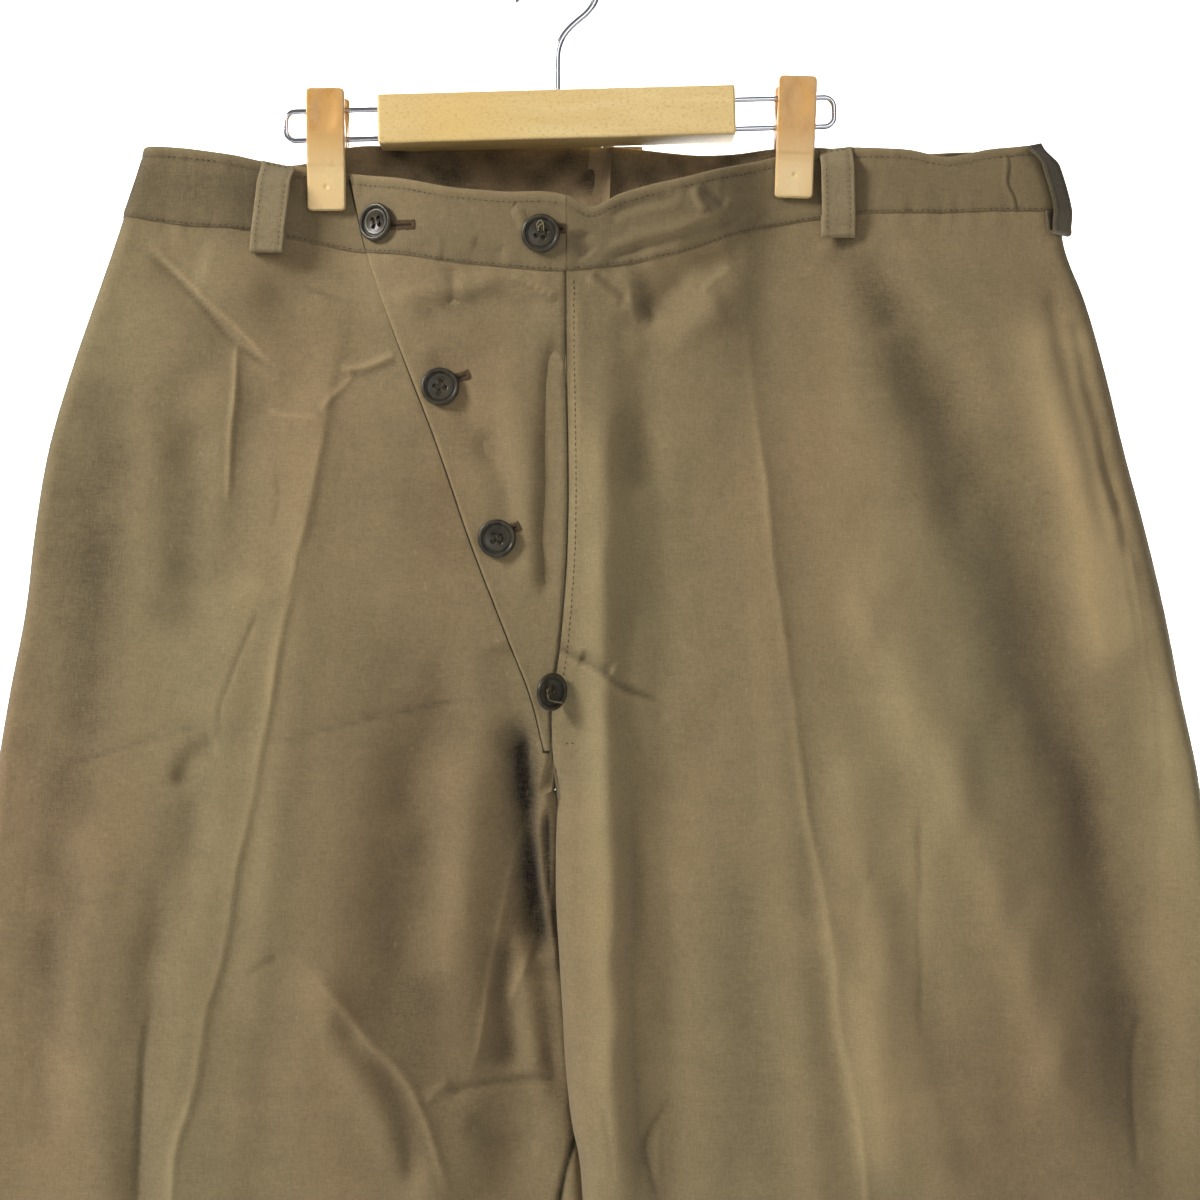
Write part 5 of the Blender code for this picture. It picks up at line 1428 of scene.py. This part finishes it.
def make_tail():
    """The flap's end below the lowest button: a narrow strip that curls forward, its rim painted pale as
    highlight and its curled face painted darker as shade.
    """
    grid = []
    for start, reach in zip(smooth_curve(TAIL_SPINE, 18), smooth_curve(TAIL_ACROSS, 18)):
        row = [start + (0.4, 1.0, 0.2), start]
        for share in np.linspace(0.12, 1, 8):
            row.append(start + reach * share + (0.0, 1.6 * sin(pi * share), 0.0))
        grid.append(row)
    grid.append(np.array(grid[-1]) + (0.0, 0.9, -0.1))
    grid = np.array(grid)
    wear_and_painted_shading = np.zeros(grid.shape[:2])
    wear_and_painted_shading[:, :2] = 0.30
    wear_and_painted_shading[-3:] = 0.5
    wear_and_painted_shading[:-4, 4:] = -0.22
    settled(shell("flap_tail", grid, ("cloth",), FORWARD, tint=wear_and_painted_shading))


# Stitching.

STITCHES = []


def stitch_line(layer, xs, zs, proud=0.0, steps=0):
    """A row of stitches through the given places on a layer."""
    marks = np.arange(len(xs), dtype=float)
    at = np.linspace(0, len(xs) - 1, steps or 8 * len(xs))
    x = hermite(marks, np.array(xs, dtype=float), at)
    z = hermite(marks, np.array(zs, dtype=float), at)
    STITCHES.append(spot(layer, x, z, np.full(len(at), proud)))


def make_stitches():
    """Every stitch is a short bead of thread, half sunk in the cloth."""
    rng = np.random.default_rng(3)
    points, faces = [], []
    for line, normals in STITCHES:
        marks = marks_along(line)
        for start in np.arange(0.6, marks[-1] - STITCH_LENGTH, STITCH_PITCH):
            at = np.array((start, start + STITCH_LENGTH))
            tail, head = np.stack([np.interp(at, marks, line[:, axis]) for axis in range(3)], axis=1)
            normal = np.array([np.interp(start, marks, normals[:, axis]) for axis in range(3)])
            run = head - tail
            square = np.cross(normal, run / (np.linalg.norm(run) + 1e-9))
            sway = square * rng.uniform(-0.12, 0.12)
            first = len(points)
            points.append(tail - normal * 0.25 + sway)
            for share in (0.25, 0.75):
                for angle in (0, pi / 2, pi, 3 * pi / 2):
                    swell = STITCH_RADIUS * (square * cos(angle) + normal * sin(angle))
                    points.append(tail + run * share + sway + swell)
            points.append(head - normal * 0.25 - sway)
            for k in range(4):
                a, b = first + 1 + k, first + 1 + (k + 1) % 4
                faces += [(first, b, a), (a, b, b + 4, a + 4), (a + 4, b + 4, first + 9)]
    settled(solid("stitching", points, faces, "thread", sharp=80))


def sew_centre(layer, shift, top, bottom):
    """A row of stitches beside a centre seam."""
    down = np.linspace(top, bottom, 50)
    stitch_line(layer, read(CENTRE, LAYERS[layer][0], down) + shift, down, 0.06, 120)


def sew():
    """The rows of stitching on the bands, the flap, the front seam, the hems and the seams."""
    for layer, proud, start, end in BAND_STITCHING:
        xs = np.linspace(start, end, 40)
        for column, gap in (("top", -4.2), ("seam", 1.6)):
            stitch_line(layer, xs, read(WAIST[LAYERS[layer][0]], column, xs) + gap, proud - BAND_SUNK, 160)
    sew_centre("right", 4.0, -180, -398)
    for layer in ("left", "right", "back_left", "back_right"):
        ends = [float(read(seam, LAYERS[layer][1], HEM)) for seam in (OUTLINE, INSEAM)]
        hem_x = np.linspace(*ends, 40)[2:-2]
        stitch_line(layer, hem_x, np.full(36, HEM + 25.0), 0.08, 120)
    sew_centre("back_left", -3.2, -170, -440)
    sew_centre("back_right", 3.2, -170, -440)
    stitch_line("right", (4, 8, 12), (-421, -420.4, -420), 0.05, 12)


# Buttons.


def lathe(profile, segments):
    """Points and faces of a profile of (radius, height) pairs turned about +Z, from pole to pole."""
    points = [(0, 0, profile[0][1])]
    for radius, height in profile[1:-1]:
        for step in range(segments):
            angle = 2 * pi * step / segments
            points.append((radius * cos(angle), radius * sin(angle), height))
    points.append((0, 0, profile[-1][1]))
    last, rings, faces = len(points) - 1, len(profile) - 2, []
    for step in range(segments):
        after = (step + 1) % segments
        faces.append((0, 1 + after, 1 + step))
        for ring in range(rings - 1):
            low = 1 + ring * segments
            high = low + segments
            faces.append((low + step, low + after, high + after, high + step))
        top = 1 + (rings - 1) * segments
        faces.append((top + step, top + after, last))
    return points, faces


def button_mesh():
    """A rimmed, dished button with four holes."""
    button = solid("button_blank", *lathe(BUTTON_PROFILE, 56), "button", sharp=50)
    blanks = [button]
    for k in range(4):
        angle = pi / 4 + k * pi / 2
        points, faces = lathe([(0, -1), (1.15, -1), (1.15, 4), (0, 4)], 16)
        points = [(x + 2.5 * cos(angle), y + 2.5 * sin(angle), z) for x, y, z in points]
        cut = button.modifiers.new(f"hole_{k}", "BOOLEAN")
        cut.object = solid(f"hole_{k}", points, faces, "button")
        cut.solver = "EXACT"
        blanks.append(cut.object)
    bpy.context.view_layer.update()
    shaped = bpy.data.meshes.new_from_object(button.evaluated_get(bpy.context.evaluated_depsgraph_get()))
    for blank in blanks:
        bpy.data.objects.remove(blank, do_unlink=True)
    return shaped


def tube(path, radius, sides=8):
    """Points and faces of a round cord along a path in space."""
    path = np.array(path, dtype=float)
    square = None
    points, faces = [], [tuple(range(sides))]
    for spot_at, run in zip(path, unit(np.gradient(path, axis=0))):
        if square is None:
            square = np.cross(run, (0.3, 1.0, 0.2))
        square = unit(square - run * np.dot(square, run))
        other = np.cross(run, square)
        for k in range(sides):
            angle = 2 * pi * k / sides
            points.append(spot_at + radius * (cos(angle) * square + sin(angle) * other))
    last = (len(path) - 1) * sides
    for low in range(0, last, sides):
        for k in range(sides):
            j = (k + 1) % sides
            faces.append((low + k, low + j, low + sides + j, low + sides + k))
    faces.append(tuple(range(last, last + sides)))
    return points, faces


def marks_along(points):
    """How far along a path each of its points lies."""
    return np.concatenate(([0], np.cumsum(np.linalg.norm(np.diff(points, axis=0), axis=1))))


def joined(name, parts, look, sharp=60):
    """Several (points, faces) pairs as one mesh."""
    points, faces = [], []
    for more, rings in parts:
        first = len(points)
        points += list(more)
        faces += [tuple(first + corner for corner in ring) for ring in rings]
    return solid(name, points, faces, look, sharp=sharp)


def smooth_curve(knots, steps=24):
    knots = np.array(knots, dtype=float)
    marks = marks_along(knots)
    at = np.linspace(0, marks[-1], steps)
    return np.stack([hermite(marks, knots[:, axis], at) for axis in range(3)], axis=1)


def button_threads(style):
    """Thread through the holes, and the loose loops that two of the buttons have."""
    reach, level = 1.77, 2.0
    strands = []
    for side in (-1, 1):
        for shift in (-0.22, 0.22):
            x = side * reach + shift
            courses = ((-reach, 0.5), (-reach * 0.6, level), (reach * 0.6, level), (reach, 0.5))
            strands.append([(x, y, z) for y, z in courses])
    groups = (strands, LOOSE_THREADS[style])
    return [[tube(smooth_curve(knots, 14), 0.22, 6) for knots in group] for group in groups]


def laid_tube(layer, places, proud, radius, sides):
    """A cord through places on a layer, at heights above it."""
    places = np.array(places)
    path, _ = spot(layer, places[:, 0], places[:, 1], np.array(proud))
    return tube(path, radius, sides)


def buttonhole(name, start, end, proud):
    """A worked slit: a dark line, painted shadow in the opening, between two thick rows of thread, with a
    bar across its end.
    """
    start, end = np.array(start, dtype=float), np.array(end, dtype=float)
    length = np.linalg.norm(end - start)
    run = (end - start) / length
    square = np.array((-run[1], run[0]))
    parts = []
    rng = np.random.default_rng(len(name))
    for side in (-1, 1):
        for at in np.arange(0, length - 0.8, 0.62):
            here = start + run * at + square * side * 0.35
            there = start + run * (at + rng.uniform(-0.1, 0.1)) + square * side * rng.uniform(2.1, 2.8)
            heights = (proud + 0.1, proud + 0.7, proud + 0.15)
            parts.append(laid_tube("flap", (here, (here + there) / 2, there), heights, 0.27, 5))
    for at in (0.0, 0.5, 1.0):
        bar = [end - run * at + square * shift for shift in (-2.5, 0, 2.5)]
        parts.append(laid_tube("flap", bar, (proud + 0.2, proud + 0.75, proud + 0.2), 0.3, 5))
    settled(joined(f"{name}_hole_thread", parts, "buttonhole", sharp=80))
    # The slit is a near-black cord: painted shadow of the opening.
    slit = [start + run * (length - 1.2) * share for share in np.linspace(0, 1, 6)]
    settled(joined(f"{name}_hole_slit", [laid_tube("flap", slit, proud + 0.3, 0.42, 6)], "dark"))


def make_buttons():
    shaped = button_mesh()
    for name, x, z, proud, tilt, turn, style in BUTTONS:
        x, z = np.array([[x]], dtype=float), np.array([[z]], dtype=float)
        normal = Vector(smooth_normal(x, z))
        shank = BUTTON_FOOT_RADIUS * sin(radians(tilt))
        seat = Vector(spot("flap", x, z)[0].ravel()) + normal * (proud + 2 * GAP + shank)
        facing = normal.to_track_quat("Z", "Y").to_matrix().to_4x4()
        place = Matrix.Translation(seat * MM) @ facing @ Matrix.Rotation(radians(tilt), 4, "Y")
        button = placed(f"{name}_look", shaped.copy())
        button.data.transform(place @ Matrix.Rotation(radians(turn), 4, "Z"))
        settled(button, name, slot="button")
        kinds = (("thread", "dark_thread"), ("loose_thread", "pale_thread"))
        for (suffix, look), strands in zip(kinds, button_threads(style)):
            if strands:
                threads = joined(f"{name}_{suffix}", strands, look)
                threads.data.transform(place)
                settled(threads)


def smooth_normal(x, z):
    """The cloth's direction under a button, without its small creases."""
    around = np.linspace(-6, 6, 5)
    grid_x, grid_z = np.meshgrid(x.ravel()[0] + around, z.ravel()[0] + around)
    normal = surface_normal("flap", grid_x, grid_z).reshape(-1, 3).mean(axis=0)
    return normal / np.linalg.norm(normal)


# Hanger.


def arc(centre, radius, start, end, steps):
    """Points on an arc in the XZ plane, with angles in degrees from +X towards +Z."""
    angles = [radians(start + (end - start) * step / steps) for step in range(steps + 1)]
    return [(centre[0] + radius * cos(angle), 0.0, centre[1] + radius * sin(angle)) for angle in angles]


def tilted(point):
    """A point given on a level bar, turned with the bar's tilt about its middle."""
    x, y, z = point
    middle = BAR_TOP - BAR_SIZE[2] / 2
    lift = z - middle
    return (x * cos(BAR_TILT) - lift * sin(BAR_TILT), y, middle + x * sin(BAR_TILT) + lift * cos(BAR_TILT))


def make_wires():
    upper, lower = (BAR_TOP - drop for drop in WIRE_DROPS)
    for side, reach in zip(("left", "right"), WIRE_REACH):
        start = BAR_SIZE[0] / 2 - 3.0
        bend = abs(reach) - WIRE_CORNER
        path = [(start, 0.0, upper), (bend - 6, 0.0, upper)]
        path += arc((bend, upper - WIRE_CORNER), WIRE_CORNER, 90, 0, 10)
        path += arc((bend, lower + WIRE_CORNER), WIRE_CORNER, 0, -90, 10)
        path += [(bend - 6, 0.0, lower), (start, 0.0, lower)]
        path = [tilted((LEG_SIGN[side] * x, y, z)) for x, y, z in path]
        name = f"hanger_wire_{side}"
        settled(joined(f"{name}_look", [tube(path, WIRE_RADIUS, 16)], "steel"), name, slot="steel")


def make_hook():
    radius = HOOK_INNER_RADIUS + HOOK_WIRE_RADIUS
    crook = [Vector(point) for point in arc((0.0, -HOOK_INNER_RADIUS), radius, -52, 205, 60)]
    foot = Vector((0, 0, BAR_TOP - 2.0))
    neck = Vector((0, 0, -HOOK_INNER_RADIUS - radius - 18))
    over = neck + Vector((0, 0, 10))
    before = crook[0] - Vector((sin(radians(52)), 0, cos(radians(52)))) * 12
    path = [foot, foot.lerp(neck, 0.5), neck]
    for t in (step / 14 for step in range(1, 14)):
        first, last = neck * (1 - t) ** 3, crook[0] * t**3
        path.append(first + over * 3 * t * (1 - t) ** 2 + before * 3 * t * t * (1 - t) + last)
    piece = joined("hanger_hook_look", [tube([*path, *crook], HOOK_WIRE_RADIUS, 18)], "steel")
    settled(piece, "hanger_hook", slot="steel")


def rounded_in(radius, distance):
    """How far a rounded edge draws in, a distance from its end."""
    if distance >= radius:
        return 0.0
    return radius - np.sqrt(max(radius**2 - (radius - distance) ** 2, 0))


def clip_plate(top, bottom, outward, lean_in):
    """The broad face of a clip's arm, with a thumb dish, a step above the jaw and a small dimple."""
    columns, rows = 33, 97
    height = top - bottom
    front, rear = [], []
    for z in (bottom + height * i / (rows - 1) for i in range(rows)):
        from_end = min(z - bottom, top - z)
        half = CLIP_WIDTH / 2 - rounded_in(CLIP_CORNER, from_end)
        share = (z - bottom) / height
        profile = np.interp(share, CLIP_STATIONS, lean_in)
        step = 0.35 * ease((share - 0.355) / 0.02)
        for j in range(columns):
            x = half * (2 * j / (columns - 1) - 1)
            away = min(half - abs(x), from_end)
            dish = 0.9 * np.exp(-(((x / 6.0) ** 2 + ((share - 0.80) * height / 9.0) ** 2) ** 2))
            dimple = 0.7 * np.exp(-(((x**2) + ((share - 0.19) * height) ** 2) / 1.1))
            y = profile + step - dish - dimple - rounded_in(CLIP_EDGE, away)
            front.append((x, outward * y, z))
            rear.append((x, outward * (profile - 3.0 + (0.6 if away < 1 else 0)), z))
    deck = rows * columns
    faces = []
    for first in (0, deck):
        for i in range(rows - 1):
            for k in range(first + i * columns, first + (i + 1) * columns - 1):
                faces.append((k, k + 1, k + columns + 1, k + columns))
    rim = list(range(columns)) + [i * columns + columns - 1 for i in range(1, rows)]
    rim += [(rows - 1) * columns + j for j in range(columns - 2, -1, -1)]
    rim += [i * columns for i in range(rows - 2, 0, -1)]
    faces += [(a, b, deck + b, deck + a) for a, b in zip(rim, rim[1:] + rim[:1])]
    return front + rear, faces


def clip_ribs(top, bottom, pivot, outward):
    """The two side walls that carry an arm on the lower wire."""
    profile = [(10.6, top - 2.0), (7.8, pivot + 12.0), (2.0, pivot + 2.4), (2.0, pivot - 2.4)]
    profile += [(5.6, pivot - 8.0), (5.0, bottom + 20.0), (7.4, bottom + 20.0), (9.8, pivot - 3.0)]
    count = len(profile)
    faces = [tuple(range(count)), tuple(range(count, 2 * count))]
    faces += [(i, (i + 1) % count, count + (i + 1) % count, count + i) for i in range(count)]
    parts = []
    for side in (-1, 1):
        walls = [side * (CLIP_WIDTH / 2 - inset) for inset in (0.3, 2.0)]
        parts.append(([(x, outward * y, z) for x in walls for y, z in profile], faces))
    return parts


def make_clips():
    upper, lower = (BAR_TOP - drop for drop in WIRE_DROPS)
    seat = GAP / 2 + GRIP_DEPTH + BAND_PROUD + 0.9
    lean_in = (seat + 3.4, seat + 4.0, seat + 4.6, 9.2, 11.0, 12.4)
    for name, x, top, lean in CLIPS:
        pivot = tilted((x, 0.0, lower))[2]
        ends = top - pivot, -CLIP_BELOW_PIVOT
        place = Matrix.Translation(Vector((x, 0, pivot)) * MM) @ Matrix.Rotation(radians(lean), 4, "Y")
        for face, outward in FACING.items():
            parts = [clip_plate(*ends, outward, lean_in), *clip_ribs(*ends, 0.0, outward)]
            piece = joined(f"{name}_{face}_look", parts, "clip", sharp=38)
            piece.data.transform(place)
            settled(piece, f"{name}_{face}_arm", slot="clip_plastic")
        spring_z = tilted((x, 0.0, upper))[2] + WIRE_RADIUS + 4.0 - pivot
        turns = np.linspace(0, 5.5 * 2 * pi, 100)
        coil = [(2.5 * cos(t), -7.6 + 15.2 * t / turns[-1], spring_z + 2.5 * sin(t)) for t in turns]
        piece = joined(f"{name}_spring_look", [tube(coil, 0.5, 8)], "steel")
        piece.data.transform(place)
        settled(piece, f"{name}_spring", slot="steel")


# Setting.


def make_stage():
    """A pale floor that sweeps up into a pale wall behind."""
    rows = smooth_curve([(0, y, FLOOR_Z + z) for y, z in STAGE_PROFILE], 60)
    grid = np.array([[(x, y, z) for x in np.linspace(-4200, 4200, 9)] for _, y, z in rows])
    backdrop = shell("backdrop", grid, ("paper",), (0.0, 0.0, 1.0))


def area_light(name, at, target, size, power, colour=(1, 1, 1)):
    lamp = bpy.data.lights.new(name, "AREA")
    lamp.shape = "RECTANGLE"
    lamp.size, lamp.size_y = size[0] * MM, size[1] * MM
    lamp.energy = power
    lamp.color = colour
    light = placed(name, lamp)
    light.location = Vector(at) * MM
    light.rotation_euler = (Vector(target) - Vector(at)).to_track_quat("-Z", "Y").to_euler()


def make_lights():
    area_light("key", (-1600, -900, 700), (0, 0, -480), (560, 560), KEY_POWER, (1.0, 0.98, 0.94))
    area_light("fill", (700, -2300, 300), (0, 0, -450), (1600, 1600), FILL_POWER, (0.98, 0.99, 1.0))
    for side in (-1, 1):
        at, target = (side * 1900, 900, -350), (side * 1900, 3400, -350)
        area_light(f"wall_{side}", at, target, (1500, 2500), WALL_POWER)
    world = bpy.data.worlds.new("studio")
    world.use_nodes = True
    background = world.node_tree.nodes["Background"]
    background.inputs["Color"].default_value = (1.0, 1.0, 1.0, 1.0)
    background.inputs["Strength"].default_value = WORLD_STRENGTH
    bpy.context.scene.world = world
    bpy.context.scene.view_settings.view_transform = "Standard"


def make_camera():
    lens = bpy.data.cameras.new("camera")
    lens.sensor_width = 36.0
    lens.lens = 36.0 * abs(CAMERA_AT[1]) / FRAME_WIDTH
    lens.clip_start, lens.clip_end = 0.05, 30.0
    camera = placed("camera", lens)
    camera.location = Vector(CAMERA_AT) * MM
    camera.rotation_euler = (pi / 2, 0, 0)
    bpy.context.scene.camera = camera


LOOKS = {
    "cloth": cloth_material("cloth_look", (127, 114, 82), (132, 111, 80), stain=True),
    "band": cloth_material("band_look", (116, 103, 74), (118, 101, 72)),
    "loop": cloth_material("loop_look", (128, 117, 88), (132, 115, 86)),
    "lining": cloth_material("lining_look", (150, 130, 98), (124, 103, 74)),
    # Near-black cloth: painted shadow beyond the flap's slanted edge.
    "shadow_cloth": cloth_material("flap_shadow_look", (44, 36, 22), (50, 40, 26)),
    "thread": thread_material("thread_look", 80, 66, 42),
    "dark_thread": thread_material("dark_thread_look", 62, 54, 38),
    "pale_thread": thread_material("pale_thread_look", 150, 138, 108),
    "buttonhole": thread_material("buttonhole_look", 88, 66, 42),
    "button": button_material(),
    "wood": wood_material(),
    "clip": clip_material(),
    "steel": steel_material(),
    # Near-black: painted shadow in the buttonhole slits.
    "dark": plain_material("slit_shadow_look", srgb(28, 22, 14), 0.9),
    "paper": plain_material("paper_look", (0.9, 0.9, 0.9, 1.0), 0.85),
}


def main():
    make_camera()
    make_panel("front_right", "left", 226, 1.85)
    make_panel("front_left", "right", 226, 1.85)
    make_panel("back_right", "back_left", 84, 3.2)
    make_panel("back_left", "back_right", 84, 3.2)
    make_flap()
    make_flap_shadow()
    make_tape()
    make_tail()
    make_band("waistband_front_right", "left", 210, BAND_PROUD, BAND_THICK)
    make_band("waistband_front_left", "right", 330, BAND_PROUD, BAND_THICK)
    make_band("waistband_flap", "flap", 130, FLAP_BAND_PROUD, FLAP_BAND_THICK, rolled=False)
    make_band("waistband_back_right", "back_left", 150, BAND_PROUD, BAND_THICK)
    make_band("waistband_back_left", "back_right", 150, BAND_PROUD, BAND_THICK)
    for name, layer, x, slant in LOOPS:
        make_loop(name, loop_rows(layer, x, slant))
    make_loop("belt_loop_side_left", side_loop_rows(), shade=SIDE_LOOP_SHADE)
    sew()
    make_stitches()
    make_buttons()
    for name, start, end in BUTTONHOLES:
        buttonhole(name, start, end, FLAP_BAND_PROUD if "waist" in name else FLAP_PROUD)
    make_wires()
    make_hook()
    make_clips()
    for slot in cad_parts["hanger_bar"].material_slots:
        slot.material = LOOKS["wood"]
    make_stage()
    make_lights()


main()
